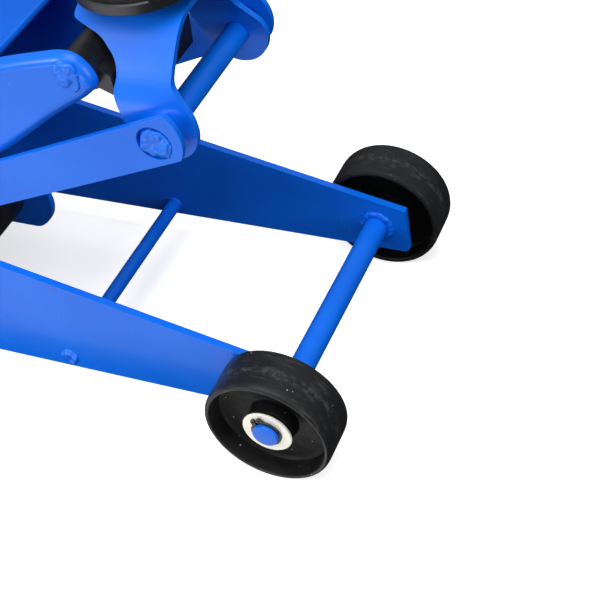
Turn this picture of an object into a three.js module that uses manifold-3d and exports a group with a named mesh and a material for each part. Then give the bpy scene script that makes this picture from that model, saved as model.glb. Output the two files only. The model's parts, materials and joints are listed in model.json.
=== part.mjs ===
// Long-chassis hydraulic trolley jack with a parallelogram lift arm, shown part raised.
// Millimetres, +X to the front wheels, +Y to the jack's left, +Z up from the floor.
// Inside the group, places are measured from the centre of the front axle: point(x, z) in the side view.
import * as THREE from "three";
import { mergeVertices } from "three/addons/utils/BufferGeometryUtils.js";
import Module from "manifold-3d";

const wasm = await Module();
wasm.setup();

// ---------------------------------------------------------------- driving dimensions
const GAP = 0.3; // clearance left between touching pieces
const ROUND = 20; // sides of a round bar
const WHEEL_ROUND = 32; // and of a wheel or saddle
const PAST = 5; // how far a drill runs past what it cuts
const FRONT_WHEEL_RADIUS = 51.8;
const FRONT_WHEEL_IN = 105.8; // inner and outer faces of a front wheel, from the centre line
const FRONT_WHEEL_OUT = 145.6;
const AXLE_RADIUS = 10.1;
const AXLE_HALF = 147.8;

const PLATE_OUT = 102.6; // outer faces of the two side plates
const PLATE_THICK = 6;
const PLATE_IN = PLATE_OUT - PLATE_THICK;
const PLATE_BOTTOM = -25;
const PLATE_FRONT = 27.5;
const PLATE_TAPER = 0.2265; // rise of the top edge per millimetre towards the rear
const PLATE_TOP_AT_AXLE = 27;
const PLATE_CREST = [-455, -520]; // level stretch over the arm pivot
const SOCKET_DECK = 122; // top of the plates beside the handle socket
const REAR_X = -735;
const CASTER_DECK = 25; // underside of the rear cross plate

const TIE_ROD = { x: -201, z: -13, radius: 6.2 };
const ARM_PIVOT = { x: -485.7, z: 103.4, radius: 12 };
const LIFT_LENGTH = 376.3; // pivot to pin of the arm, and of the parallel links
const LIFT_ANGLE = THREE.MathUtils.degToRad(22.7); // above level, as shown
const LINK_OFFSET = { x: 62.7, z: -36.5 }; // from the arm's pins to the link's pins
const LINK_IN = 74; // inner and outer faces of a link bar
const LINK_OUT = 80;
const LINK_WIDTH = 37;
const LINK_PIN_RADIUS = 8;
const CROSS_SHAFT_RADIUS = 9.5;
const ARM_IN = 65.5; // inner and outer faces of an arm plate
const ARM_OUT = 70.5;
const LEVER_RADIUS = 60; // arm pivot down to the ram's pin, as shown
const CROSS_PIN_RADIUS = 10;
const CARRIER_OUT = 64; // outer face of a saddle carrier ear
const CARRIER_SHEET = 5;
const CARRIER_LEAN = THREE.MathUtils.degToRad(38); // lean of the pressed legs above their ears
const CARRIER_BEND = 22; // height of the bend over the cross shaft
const CARRIER_TOP = 71; // height of the top plate over the cross shaft
const EAR_RADIUS = 25.5;
const CARRIER_PIN_RADIUS = 8;
const KNUCKLE_HALF = 22; // half width of the cast block inside the carrier
const WEB_HALF = 56; // half widths of its webs and of its sleeve
const SLEEVE_HALF = 60.5;
const SLEEVE_RADIUS = 16;
const STEM_RADIUS = 12;
const SADDLE_X = -32; // saddle axis, from the cross shaft
const SADDLE_RADIUS = 48;

const TANK_HALF = 45; // half width of the oil tank
const CYLINDER = { rear: -644.7, front: -545, radius: 28 };
const RAM_RADIUS = 15;
const CROSSHEAD = { rear: -503, front: -469, low: 28, high: 59, half: 36 };
const BLOCK = { rear: -725, front: -645, half: 50, low: 31.3, high: 70 };
const SPRING_Y = 46;
const BRACKET_IN = 48;
const BRACKET_OUT = 54;
const UNIT_BOLT_X = [-412, -368];
const UNIT_BOLT_Z = -4;
const UNIT_BOLT_RADIUS = 5;
const VALVE = { y: -30, z: 50, radius: 5 }; // release valve's axis

const SOCKET_PIVOT = { x: -672, z: 96, radius: 8 };
const HANDLE_RISE = THREE.MathUtils.degToRad(50); // handle above level, as shown
const CAM_REACH = 22; // socket pivot to the cam that works the plunger
const SOCKET_LENGTH = 150;
const SOCKET_HUB = 13;
const CAM_RADIUS = 9;
const PLUNGER_RADIUS = 7.5;
const HANDLE_RADIUS = 16;
const HANDLE_JOIN = 380; // distance from the pivot to where the two tubes meet
const HANDLE_END = 700;
const CASTER = { x: -690, y: 72, trail: 22, radius: 28, half: 11 };

const SIDES = [
  ["right", -1],
  ["left", 1],
];

// ---------------------------------------------------------------- materials
const finish = (color, roughness, metalness) =>
  new THREE.MeshStandardMaterial({ color, roughness, metalness });
const BLUE_PAINT = finish(0x1267e8, 0.32, 0.1);
const BLACK_PAINT = finish(0x17181a, 0.45, 0.1);
const BLACK_PLASTIC = finish(0x121214, 0.42, 0);
const ZINC = finish(0xc9c6b8, 0.38, 0.9);
const STEEL = finish(0x8e9092, 0.4, 0.9);
const CHROME = finish(0xdadcde, 0.12, 1);
const SPRING_STEEL = finish(0x2b2c2e, 0.45, 0.8);
const RUBBER = finish(0x19191b, 0.8, 0);

// ---------------------------------------------------------------- solids
// A geometry as a manifold solid, and back.
function solid(geometry) {
  const bare = geometry.index ? geometry.toNonIndexed() : geometry.clone();
  bare.deleteAttribute("normal");
  bare.deleteAttribute("uv");
  const merged = mergeVertices(bare, 1e-3);
  return new wasm.Manifold(
    new wasm.Mesh({
      numProp: 3,
      vertProperties: merged.attributes.position.array,
      triVerts: new Uint32Array(merged.index.array),
    }),
  );
}

function geometryOf(manifold) {
  const mesh = manifold.getMesh();
  const geometry = new THREE.BufferGeometry();
  geometry.setAttribute("position", new THREE.BufferAttribute(mesh.vertProperties.slice(), 3));
  geometry.setIndex(new THREE.BufferAttribute(mesh.triVerts.slice(), 1));
  return geometry;
}

const join = (...parts) => geometryOf(parts.map(solid).reduce((sum, part) => sum.add(part)));
const cut = (body, ...tools) =>
  geometryOf(tools.map(solid).reduce((rest, tool) => rest.subtract(tool), solid(body)));

// The two numbers of a pair, lower first.
function ordered(pair) {
  return [Math.min(...pair), Math.max(...pair)];
}

// Round bar along Y between two faces, centred at point (x, z).
function barY(radius, low, high, x = 0, z = 0, sides = ROUND) {
  const bar = new THREE.CylinderGeometry(radius, radius, high - low, sides);
  return bar.translate(x, (low + high) / 2, z);
}

// Round bar along Z, centred at (x, y).
function barZ(radius, low, high, x = 0, y = 0, sides = ROUND) {
  const bar = new THREE.CylinderGeometry(radius, radius, high - low, sides);
  return bar.rotateX(Math.PI / 2).translate(x, y, (low + high) / 2);
}

// Round bar along X, centred at (y, z).
function barX(radius, low, high, y = 0, z = 0, sides = ROUND) {
  const bar = new THREE.CylinderGeometry(radius, radius, high - low, sides);
  return bar.rotateZ(Math.PI / 2).translate((low + high) / 2, y, z);
}

function box(x, y, z) {
  const block = new THREE.BoxGeometry(x[1] - x[0], y[1] - y[0], z[1] - z[0]);
  return block.translate((x[0] + x[1]) / 2, (y[0] + y[1]) / 2, (z[0] + z[1]) / 2);
}

// Sheet cut to a side-view outline, standing between two faces across the jack.
function sheet(outline, faces) {
  const [low, high] = ordered(faces);
  const plate = new THREE.ExtrudeGeometry(outline, {
    depth: high - low,
    bevelEnabled: false,
    curveSegments: 10,
  });
  return plate.rotateX(Math.PI / 2).translate(0, high, 0);
}

// Profile of [radius, height] points turned about Y; the profile closes on itself or on the axis.
function turned(profile, sides = ROUND) {
  const area = profile.reduce((sum, [r, h], i) => {
    const [r2, h2] = profile[(i + 1) % profile.length];
    return sum + r * h2 - r2 * h;
  }, 0);
  const facingOut = area > 0 ? profile : [...profile].reverse();
  const points = facingOut.map(([r, h]) => new THREE.Vector2(r, h));
  if (!profile.some(([r]) => r === 0)) points.push(points[0].clone());
  return new THREE.LatheGeometry(points, sides);
}

// The same, turned about Z and moved to (x, y).
const turnedZ = (profile, x, y, sides = ROUND) =>
  turned(profile, sides).rotateX(Math.PI / 2).translate(x, y, 0);

function polygon(points) {
  return new THREE.Shape(points.map(([x, z]) => new THREE.Vector2(x, z)));
}

// Outline of a bar with a round end at each of two points.
function capsule(a, b, radius) {
  const along = Math.atan2(b[1] - a[1], b[0] - a[0]);
  const outline = new THREE.Shape();
  outline.absarc(b[0], b[1], radius, along - Math.PI / 2, along + Math.PI / 2, false);
  outline.absarc(a[0], a[1], radius, along + Math.PI / 2, along + (3 * Math.PI) / 2, false);
  return outline;
}

const jack = new THREE.Group();

function add(name, geometry, material, parent = jack) {
  const mesh = new THREE.Mesh(geometry, material);
  mesh.name = name;
  parent.add(mesh);
  return mesh;
}

// ---------------------------------------------------------------- chassis
function sidePlateOutline() {
  const topAt = (x) => PLATE_TOP_AT_AXLE - PLATE_TAPER * x;
  const corner = 3; // small round of the lower front corner
  const crest = topAt(PLATE_CREST[0]);
  return polygon([
    [PLATE_FRONT - corner, PLATE_BOTTOM],
    [PLATE_FRONT, PLATE_BOTTOM + corner],
    [PLATE_FRONT, topAt(PLATE_FRONT)],
    [PLATE_CREST[0], crest],
    [PLATE_CREST[1], crest],
    [PLATE_CREST[1] - 50, SOCKET_DECK],
    [REAR_X + 30, SOCKET_DECK],
    [REAR_X, SOCKET_DECK - 26],
    [REAR_X, CASTER_DECK + PLATE_THICK + GAP],
    [-620, CASTER_DECK + PLATE_THICK + GAP],
    [-600, PLATE_BOTTOM],
  ]);
}

function chassis() {
  const holes = [
    [AXLE_RADIUS, 0, 0],
    [TIE_ROD.radius, TIE_ROD.x, TIE_ROD.z],
    [ARM_PIVOT.radius, ARM_PIVOT.x, ARM_PIVOT.z],
    [LINK_PIN_RADIUS, ARM_PIVOT.x + LINK_OFFSET.x, ARM_PIVOT.z + LINK_OFFSET.z],
    [SOCKET_PIVOT.radius, SOCKET_PIVOT.x, SOCKET_PIVOT.z],
    ...UNIT_BOLT_X.map((x) => [UNIT_BOLT_RADIUS, x, UNIT_BOLT_Z]),
  ];
  const past = PLATE_OUT + PAST;
  for (const [side, sign] of SIDES) {
    const plate = sheet(sidePlateOutline(), [sign * PLATE_IN, sign * PLATE_OUT]);
    const drills = holes.map(([r, x, z]) => barY(r + GAP, -past, past, x, z));
    add(`side_plate_${side}`, cut(plate, ...drills), BLUE_PAINT);
  }
  const { x, z, radius } = TIE_ROD;
  const rodHalf = PLATE_OUT + 0.6; // its plug welds stand just proud of the plates
  add("tie_rod", barY(radius, -rodHalf, rodHalf, x, z), BLUE_PAINT);
  const crossPlate = [CASTER_DECK, CASTER_DECK + PLATE_THICK];
  const deck = box([REAR_X, BLOCK.front], [-PLATE_OUT, PLATE_OUT], crossPlate);
  add("rear_cross_plate", deck, BLUE_PAINT);
}

// ---------------------------------------------------------------- front axle and wheels
const HUB_BORE = 10.8;
const HUB_OUT = 141;
const WASHER_OUT = 143;
const CLIP_IN = 143.3;
const CLIP_OUT = 144.7;

function frontAxle() {
  const stub = 10.4;
  const groove = 8.6;
  const slack = 0.2; // of the clip in its groove
  const half = [
    [AXLE_RADIUS, HUB_OUT],
    [stub, HUB_OUT + GAP],
    [stub, CLIP_IN - slack],
    [groove, CLIP_IN - slack],
    [groove, CLIP_OUT + slack],
    [stub, CLIP_OUT + slack],
    [stub, AXLE_HALF - 1],
    [stub - 1, AXLE_HALF],
    [0, AXLE_HALF],
  ];
  const mirrored = half.map(([r, y]) => [r, -y]).reverse();
  add("front_axle", turned([...mirrored, ...half]), BLUE_PAINT);
}

// Moulded wheel: flat tread, deep dish on both faces, web and long hub.
const WHEEL_PROFILE = [
  [HUB_BORE, 106.5],
  [17, 106.5],
  [17.6, 121],
  [45, 121],
  [46.2, FRONT_WHEEL_IN],
  [48.6, FRONT_WHEEL_IN],
  [FRONT_WHEEL_RADIUS, 107.4],
  [FRONT_WHEEL_RADIUS, 143.4],
  [48.4, FRONT_WHEEL_OUT],
  [46.2, FRONT_WHEEL_OUT],
  [45, 129],
  [24.5, 129],
  [23.5, 131],
  [17.6, 131],
  [17, HUB_OUT],
  [HUB_BORE, HUB_OUT],
];

function frontWheels() {
  for (const [side, sign] of SIDES) {
    const mirror = (profile) => profile.map(([r, y]) => [r, sign * y]);
    add(`front_wheel_${side}`, turned(mirror(WHEEL_PROFILE), WHEEL_ROUND), BLACK_PLASTIC);
    const washer = [
      [HUB_BORE, HUB_OUT + GAP],
      [20.2, HUB_OUT + GAP],
      [20.2, WASHER_OUT],
      [HUB_BORE, WASHER_OUT],
    ];
    add(`axle_washer_${side}`, turned(mirror(washer)), ZINC);
    const clip = [
      [8.9, CLIP_IN],
      [12.3, CLIP_IN],
      [12.3, CLIP_OUT],
      [8.9, CLIP_OUT],
    ];
    const gapCut = box([-2.5, 2.5], [-200, 200], [4, 14]); // the mouth between the clip's ears
    add(`axle_circlip_${side}`, cut(turned(mirror(clip)), gapCut), SPRING_STEEL);
  }
}

// ---------------------------------------------------------------- lift arm
// Built along its pin line: +X to the saddle, origin on the pivot, then turned to the lift angle.
const ARM_OUTLINE = [
  [0, 30],
  [60, 37],
  [310, 33],
  [LIFT_LENGTH, 22],
  [LIFT_LENGTH + 14, 15],
  [LIFT_LENGTH + 19.5, 8],
  [LIFT_LENGTH + 19.5, -4.5],
  [LIFT_LENGTH + 14, -11.5],
  [LIFT_LENGTH + 1.7, -16.5],
  [LIFT_LENGTH - 38, -23],
  [LIFT_LENGTH - 99, -38.5],
  [LIFT_LENGTH - 150, -51],
  [126, -58],
  [30, -60],
  [-26, -40],
  [-30, 0],
  [-21, 21],
];

function liftArm() {
  const arm = new THREE.Group();
  arm.position.set(ARM_PIVOT.x, 0, ARM_PIVOT.z);
  arm.rotation.y = -LIFT_ANGLE;
  jack.add(arm);

  const down = (distance) => [
    -distance * Math.sin(LIFT_ANGLE),
    -distance * Math.cos(LIFT_ANGLE),
  ];
  const slotHalf = CROSS_PIN_RADIUS + 1.5;
  for (const [side, sign] of SIDES) {
    const faces = [sign * ARM_IN, sign * ARM_OUT];
    const wide = [sign * (ARM_IN - PAST), sign * (ARM_OUT + PAST)];
    const web = sheet(polygon(ARM_OUTLINE), faces);
    const lever = sheet(capsule(down(30), down(72), 24), faces);
    const slot = sheet(capsule(down(LEVER_RADIUS - 0.5), down(72), slotHalf), wide);
    const plate = cut(
      join(web, lever),
      slot,
      barY(ARM_PIVOT.radius + GAP, ...ordered(wide)),
      barY(CARRIER_PIN_RADIUS + GAP, ...ordered(wide), LIFT_LENGTH, 0),
    );
    add(`arm_plate_${side}`, plate, BLUE_PAINT, arm);
    const spacer = [
      [ARM_PIVOT.radius + GAP, sign * (ARM_OUT + GAP)],
      [18, sign * (ARM_OUT + GAP)],
      [18, sign * (PLATE_IN - GAP)],
      [ARM_PIVOT.radius + GAP, sign * (PLATE_IN - GAP)],
    ];
    add(`arm_spacer_${side}`, turned(spacer), STEEL, arm);
  }
  const inside = ARM_IN - GAP;
  const top = polygon([
    [52, 29],
    [308, 26],
    [308, 31],
    [52, 34],
  ]);
  add("arm_web", sheet(top, [-inside, inside]), BLUE_PAINT, arm);
  const tube = cut(barY(19, -inside, inside), barY(ARM_PIVOT.radius + GAP, -80, 80));
  add("arm_pivot_tube", tube, BLUE_PAINT, arm);
  const pinHalf = ARM_OUT + 1;
  const pin = barY(CARRIER_PIN_RADIUS, -pinHalf, pinHalf, LIFT_LENGTH, 0);
  add("carrier_pin", pin, BLUE_PAINT, arm);
}

function armShaft() {
  const half = PLATE_OUT + 14;
  const shaft = barY(ARM_PIVOT.radius, -half, half, ARM_PIVOT.x, ARM_PIVOT.z);
  add("arm_pivot_shaft", shaft, STEEL);
  for (const [side, sign] of SIDES) {
    const faces = ordered([sign * (PLATE_OUT + GAP), sign * (PLATE_OUT + 11)]);
    const blank = barY(20, ...faces, ARM_PIVOT.x, ARM_PIVOT.z, 6);
    const bore = barY(ARM_PIVOT.radius + GAP, -130, 130, ARM_PIVOT.x, ARM_PIVOT.z);
    add(`arm_pivot_nut_${side}`, cut(blank, bore), ZINC);
  }
}

// ---------------------------------------------------------------- parallel links
function linkOutline() {
  const half = LINK_WIDTH / 2;
  const noseCentre = [LIFT_LENGTH - 5, 5]; // the nose is struck from a point just off the pin
  const nose = 29;
  const reach = (v) => noseCentre[0] + Math.sqrt(nose ** 2 - (v - noseCentre[1]) ** 2);
  const from = Math.atan2(-half - noseCentre[1], reach(-half) - noseCentre[0]);
  const to = Math.atan2(half - noseCentre[1], reach(half) - noseCentre[0]);
  const outline = new THREE.Shape();
  outline.absarc(...noseCentre, nose, from, to, false);
  outline.absarc(0, 0, half, Math.PI / 2, (3 * Math.PI) / 2, false);
  return outline;
}

function links() {
  const group = new THREE.Group();
  group.position.set(ARM_PIVOT.x + LINK_OFFSET.x, 0, ARM_PIVOT.z + LINK_OFFSET.z);
  group.rotation.y = -LIFT_ANGLE;
  jack.add(group);
  for (const [side, sign] of SIDES) {
    const bar = cut(
      sheet(linkOutline(), [sign * LINK_IN, sign * LINK_OUT]),
      barY(LINK_PIN_RADIUS + GAP, -90, 90),
      barY(CROSS_SHAFT_RADIUS + GAP, -90, 90, LIFT_LENGTH, 0),
    );
    add(`link_bar_${side}`, bar, BLUE_PAINT, group);
    const pivot = [
      [0, LINK_IN - 2.8],
      [12, LINK_IN - 2.8],
      [12, LINK_IN - GAP],
      [LINK_PIN_RADIUS, LINK_IN - GAP],
      [LINK_PIN_RADIUS, LINK_OUT + GAP],
      [13, LINK_OUT + GAP],
      [13, PLATE_IN - GAP],
      [LINK_PIN_RADIUS, PLATE_IN - GAP],
      [LINK_PIN_RADIUS, PLATE_OUT + GAP],
      [13, PLATE_OUT + GAP],
      [13, PLATE_OUT + 4],
      [9, PLATE_OUT + 7],
      [0, PLATE_OUT + 7],
    ];
    const pin = turned(pivot.map(([r, y]) => [r, sign * y]));
    const place = [group.position.x, 0, group.position.z];
    add(`link_pivot_pin_${side}`, pin.translate(...place), STEEL);
  }
  const shaft = barY(CROSS_SHAFT_RADIUS, -LINK_OUT, LINK_OUT, LIFT_LENGTH, 0);
  add("link_cross_shaft", shaft, BLUE_PAINT, group);
}

// ---------------------------------------------------------------- saddle carrier and saddle
// Side outline of the pressed carrier, from the cross shaft.
function carrierOutline() {
  const outline = new THREE.Shape();
  const [from, to] = [-135, 55].map(THREE.MathUtils.degToRad);
  outline.absarc(0, 0, EAR_RADIUS, from, to, false);
  const rest = [
    [7, 29],
    [8, 46],
    [10, CARRIER_TOP],
    [-74, CARRIER_TOP],
    [-74, CARRIER_TOP - 8],
    [-50, 55],
    [-37, 44],
    [-35, 34],
    [-38, 23],
    [-36, 14],
    [-32.5, 5],
    [-29, -6],
  ];
  for (const [x, z] of rest) outline.lineTo(x, z);
  return outline;
}

// The legs as seen from the front: ears, legs leaning inwards, top plate.
function carrierSection() {
  const rise = CARRIER_TOP - CARRIER_BEND;
  const topOut = CARRIER_OUT - rise * Math.tan(CARRIER_LEAN);
  const wall = CARRIER_SHEET / Math.cos(CARRIER_LEAN);
  const under = CARRIER_TOP - CARRIER_SHEET;
  const underIn = CARRIER_OUT - (under - CARRIER_BEND) * Math.tan(CARRIER_LEAN) - wall;
  const bendIn = CARRIER_BEND - CARRIER_SHEET * Math.tan(CARRIER_LEAN / 2);
  const right = [
    [CARRIER_OUT - CARRIER_SHEET, -40],
    [CARRIER_OUT, -40],
    [CARRIER_OUT, CARRIER_BEND],
    [topOut, CARRIER_TOP],
  ];
  const inner = [
    [underIn, under],
    [CARRIER_OUT - CARRIER_SHEET, bendIn],
  ];
  const mirror = ([y, z]) => [-y, z];
  return polygon([
    ...right,
    ...right.map(mirror).reverse(),
    ...inner.map(mirror).reverse(),
    ...inner,
  ]);
}

// Casting under the top plate: a sleeve on the arm's pin, webs to the pressing's rear edge,
// and a block bored for the saddle's stem.
function knuckle(stemHole) {
  const [x, z] = [-LINK_OFFSET.x, -LINK_OFFSET.z];
  const under = CARRIER_TOP - CARRIER_SHEET - GAP;
  const block = polygon([
    [x, z - 14],
    [x + 20, z - 28],
    [-16, 14],
    [-12, under],
    [-72, under],
    [x - 14, z + 5],
  ]);
  const web = polygon([
    [x, z - 14],
    [x + 10.5, z - 13],
    [-38.6, 17.5],
    [-38.6, 34],
    [-50, 42],
    [x, z + 14],
  ]);
  const hinge = barY(SLEEVE_RADIUS, -SLEEVE_HALF, SLEEVE_HALF, x, z);
  const casting = join(
    sheet(block, [-KNUCKLE_HALF, KNUCKLE_HALF]),
    sheet(web, [-WEB_HALF, WEB_HALF]),
    hinge,
  );
  return cut(casting, barY(CARRIER_PIN_RADIUS + GAP, -90, 90, x, z), stemHole);
}

function carrier() {
  const group = new THREE.Group();
  const shaftX = ARM_PIVOT.x + LINK_OFFSET.x + LIFT_LENGTH * Math.cos(LIFT_ANGLE);
  const shaftZ = ARM_PIVOT.z + LINK_OFFSET.z + LIFT_LENGTH * Math.sin(LIFT_ANGLE);
  group.position.set(shaftX, 0, shaftZ);
  jack.add(group);

  const pressing = new THREE.ExtrudeGeometry(carrierSection(), { depth: 130, bevelEnabled: false });
  pressing.rotateX(Math.PI / 2).rotateZ(Math.PI / 2).translate(-100, 0, 0);
  const blank = sheet(carrierOutline(), [-90, 90]);
  const shell = geometryOf(solid(pressing).intersect(solid(blank)));
  const stemHole = barZ(STEM_RADIUS + GAP, 20, 90, SADDLE_X, 0);
  const body = cut(shell, barY(CROSS_SHAFT_RADIUS + GAP, -90, 90), stemHole);
  add("saddle_carrier", body, BLUE_PAINT, group);
  add("carrier_knuckle", knuckle(stemHole), BLACK_PAINT, group);

  const seat = CARRIER_TOP + GAP;
  const cup = [
    [0, 44],
    [STEM_RADIUS, 44],
    [STEM_RADIUS, seat],
    [26, seat],
    [40, seat + 6],
    [SADDLE_RADIUS, seat + 7],
    [SADDLE_RADIUS, seat + 16],
    [SADDLE_RADIUS - 4, seat + 16],
    [SADDLE_RADIUS - 4, seat + 11],
    [0, seat + 11],
  ];
  add("saddle_cup", turnedZ(cup, SADDLE_X, 0, WHEEL_ROUND), BLACK_PAINT, group);
  const pad = [
    [0, seat + 11 + GAP],
    [SADDLE_RADIUS - 4.6, seat + 11 + GAP],
    [SADDLE_RADIUS - 4.6, seat + 20],
    [SADDLE_RADIUS - 7, seat + 22],
    [0, seat + 22],
  ];
  add("saddle_pad", turnedZ(pad, SADDLE_X, 0, WHEEL_ROUND), RUBBER, group);
}

// ---------------------------------------------------------------- hydraulic unit
function hydraulicUnit() {
  const tank = new THREE.Shape();
  tank.moveTo(-630, -18);
  tank.absarc(-367, 22, 40, -Math.PI / 2, 0, false);
  for (const [x, z] of [
    [-327, 48],
    [-337, 58],
    [-418, 58],
    [-427, 22],
    [-534, 22],
    [-542, 14],
    [-630, 14],
  ])
    tank.lineTo(x, z);
  const drills = UNIT_BOLT_X.map((x) => barY(UNIT_BOLT_RADIUS + GAP, -60, 60, x, UNIT_BOLT_Z));
  const tankBody = cut(sheet(tank, [-TANK_HALF, TANK_HALF]), ...drills);
  add("oil_tank", tankBody, BLACK_PAINT);

  const ramZ = ARM_PIVOT.z - LEVER_RADIUS;
  const barrel = barX(CYLINDER.radius, CYLINDER.rear, CYLINDER.front, 0, ramZ, WHEEL_ROUND);
  const bore = barX(RAM_RADIUS + GAP, CYLINDER.rear + 4, CYLINDER.front + 10, 0, ramZ);
  add("cylinder_tube", cut(barrel, bore), BLACK_PAINT);
  add("ram_rod", barX(RAM_RADIUS, -600, CROSSHEAD.rear - GAP, 0, ramZ), CHROME);

  const { rear, front, low, high, half } = CROSSHEAD;
  const head = box([rear, front], [-half, half], [low, high]);
  const ears = SIDES.map(([, s]) => {
    const reach = ordered([s * (half - 1), s * (SPRING_Y + 9)]);
    return box([rear + 6, rear + 12], reach, [ramZ - 8, ramZ + 8]);
  });
  const pinHole = barY(CROSS_PIN_RADIUS + GAP, -90, 90, ARM_PIVOT.x, ramZ);
  add("crosshead", cut(join(head, ...ears), pinHole), BLACK_PAINT);
  const pin = barY(CROSS_PIN_RADIUS, -ARM_OUT - 2.5, ARM_OUT + 2.5, ARM_PIVOT.x, ramZ);
  add("crosshead_pin", pin, STEEL);

  for (const [side, sign] of SIDES) {
    const spring = barX(8, BLOCK.front + GAP, rear + 6 - GAP, sign * SPRING_Y, ramZ, 16);
    add(`return_spring_${side}`, spring, SPRING_STEEL);
  }
  pumpBlock();
  unitMounts();
}

function pumpBlock() {
  const plungerX = SOCKET_PIVOT.x - CAM_REACH;
  const { rear, front, half, low, high } = BLOCK;
  const body = box([rear, front], [-half, half], [low, high]);
  const valveBore = barX(VALVE.radius + GAP, rear - PAST, rear + 20, VALVE.y, VALVE.z);
  const plungerBore = barZ(PLUNGER_RADIUS + GAP, 33.5, high + PAST, plungerX, 0);
  add("pump_block", cut(body, plungerBore, valveBore), BLACK_PAINT);
  const camLow = SOCKET_PIVOT.z - CAM_RADIUS;
  add("pump_plunger", barZ(PLUNGER_RADIUS, 51, camLow - 1, plungerX, 0), CHROME);
  const stemEnd = rear - 12;
  add("release_stem", barX(VALVE.radius, stemEnd, rear + 18, VALVE.y, VALVE.z), STEEL);
  const knob = new THREE.Shape();
  const flutes = 8;
  const steps = flutes * 4;
  for (let i = 0; i < steps; i++) {
    const turn = (2 * Math.PI * i) / steps;
    const radius = 14 + 1.2 * Math.cos(flutes * turn);
    const place = [radius * Math.cos(turn), radius * Math.sin(turn)];
    if (i === 0) knob.moveTo(...place);
    else knob.lineTo(...place);
  }
  const grip = new THREE.ExtrudeGeometry(knob, { depth: 16, bevelEnabled: false });
  grip.rotateY(-Math.PI / 2).translate(stemEnd - GAP, VALVE.y, VALVE.z);
  add("release_knob", grip, BLACK_PLASTIC);
}

// Blue lugs that hold the tank, and the two long bolts through them and the side plates.
function unitMounts() {
  for (const [side, sign] of SIDES) {
    const lug = new THREE.Shape();
    lug.moveTo(-430, PLATE_BOTTOM);
    lug.lineTo(-327, PLATE_BOTTOM);
    lug.absarc(-340, 10, 38, -1.1, 0, false);
    lug.lineTo(-304, 40);
    lug.lineTo(-430, 40);
    const drills = UNIT_BOLT_X.map((x) => barY(UNIT_BOLT_RADIUS + GAP, -60, 60, x, UNIT_BOLT_Z));
    const plate = sheet(lug, [sign * BRACKET_IN, sign * BRACKET_OUT]);
    add(`unit_bracket_${side}`, cut(plate, ...drills), BLUE_PAINT);
  }
  UNIT_BOLT_X.forEach((x, i) => {
    const bolt = [
      [0, -PLATE_OUT - 7],
      [9, -PLATE_OUT - 7],
      [9, -PLATE_OUT - GAP],
      [UNIT_BOLT_RADIUS, -PLATE_OUT - GAP],
      [UNIT_BOLT_RADIUS, PLATE_OUT + GAP],
      [9, PLATE_OUT + GAP],
      [9, PLATE_OUT + 7],
      [0, PLATE_OUT + 7],
    ];
    add(`unit_bolt_${i + 1}`, turned(bolt, 18).translate(x, 0, UNIT_BOLT_Z), ZINC);
  });
}

// ---------------------------------------------------------------- handle
// Built along the tube: +Z up the handle, origin on the pivot, then leaned back.
function handle() {
  const { x, z, radius } = SOCKET_PIVOT;
  add("socket_pivot_shaft", barY(radius, -PLATE_OUT - 5, PLATE_OUT + 5, x, z), STEEL);
  const group = new THREE.Group();
  group.position.set(x, 0, z);
  const lean = Math.PI / 2 - HANDLE_RISE;
  group.rotation.y = -lean;
  jack.add(group);

  const camPlace = [-CAM_REACH * Math.cos(lean), CAM_REACH * Math.sin(lean)];
  const socket = cut(
    join(
      barY(SOCKET_HUB, -34, 34),
      barZ(21, 8, SOCKET_LENGTH),
      sheet(capsule([0, 0], camPlace, 5), [-11, 11]),
      barY(CAM_RADIUS, -11, 11, ...camPlace),
    ),
    barY(radius + GAP, -60, 60),
    barZ(HANDLE_RADIUS + GAP, 30, SOCKET_LENGTH + 5),
    barY(4 + GAP, -60, 0, 0, 120, 16),
  );
  add("handle_socket", socket, BLUE_PAINT, group);
  const wall = 2.5;
  const spigot = HANDLE_RADIUS - wall - GAP;
  const lower = [
    [HANDLE_RADIUS - wall, 32],
    [HANDLE_RADIUS, 32],
    [HANDLE_RADIUS, HANDLE_JOIN],
    [HANDLE_RADIUS - wall, HANDLE_JOIN],
  ];
  add("handle_tube_lower", turnedZ(lower, 0, 0), BLUE_PAINT, group);
  const upper = [
    [0, HANDLE_JOIN - 60],
    [spigot, HANDLE_JOIN - 60],
    [spigot, HANDLE_JOIN + GAP],
    [HANDLE_RADIUS, HANDLE_JOIN + GAP],
    [HANDLE_RADIUS, HANDLE_END],
    [HANDLE_RADIUS - wall, HANDLE_END],
    [HANDLE_RADIUS - wall, HANDLE_JOIN + 6],
    [0, HANDLE_JOIN + 6],
  ];
  add("handle_tube_upper", turnedZ(upper, 0, 0), BLUE_PAINT, group);
  const grip = [
    [0, HANDLE_END + GAP],
    [HANDLE_RADIUS + GAP, HANDLE_END + GAP],
    [HANDLE_RADIUS + GAP, HANDLE_END - 140],
    [19, HANDLE_END - 140],
    [20, HANDLE_END - 134],
    [20, HANDLE_END],
    [17, HANDLE_END + 4],
    [0, HANDLE_END + 4],
  ];
  add("handle_grip", turnedZ(grip, 0, 0), RUBBER, group);
  const screw = join(
    barY(4, -44, -HANDLE_RADIUS - GAP, 0, 120, 16),
    box([-3, 3], [-58, -43], [106, 134]),
  );
  add("clamp_screw", screw, ZINC, group);
}

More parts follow.
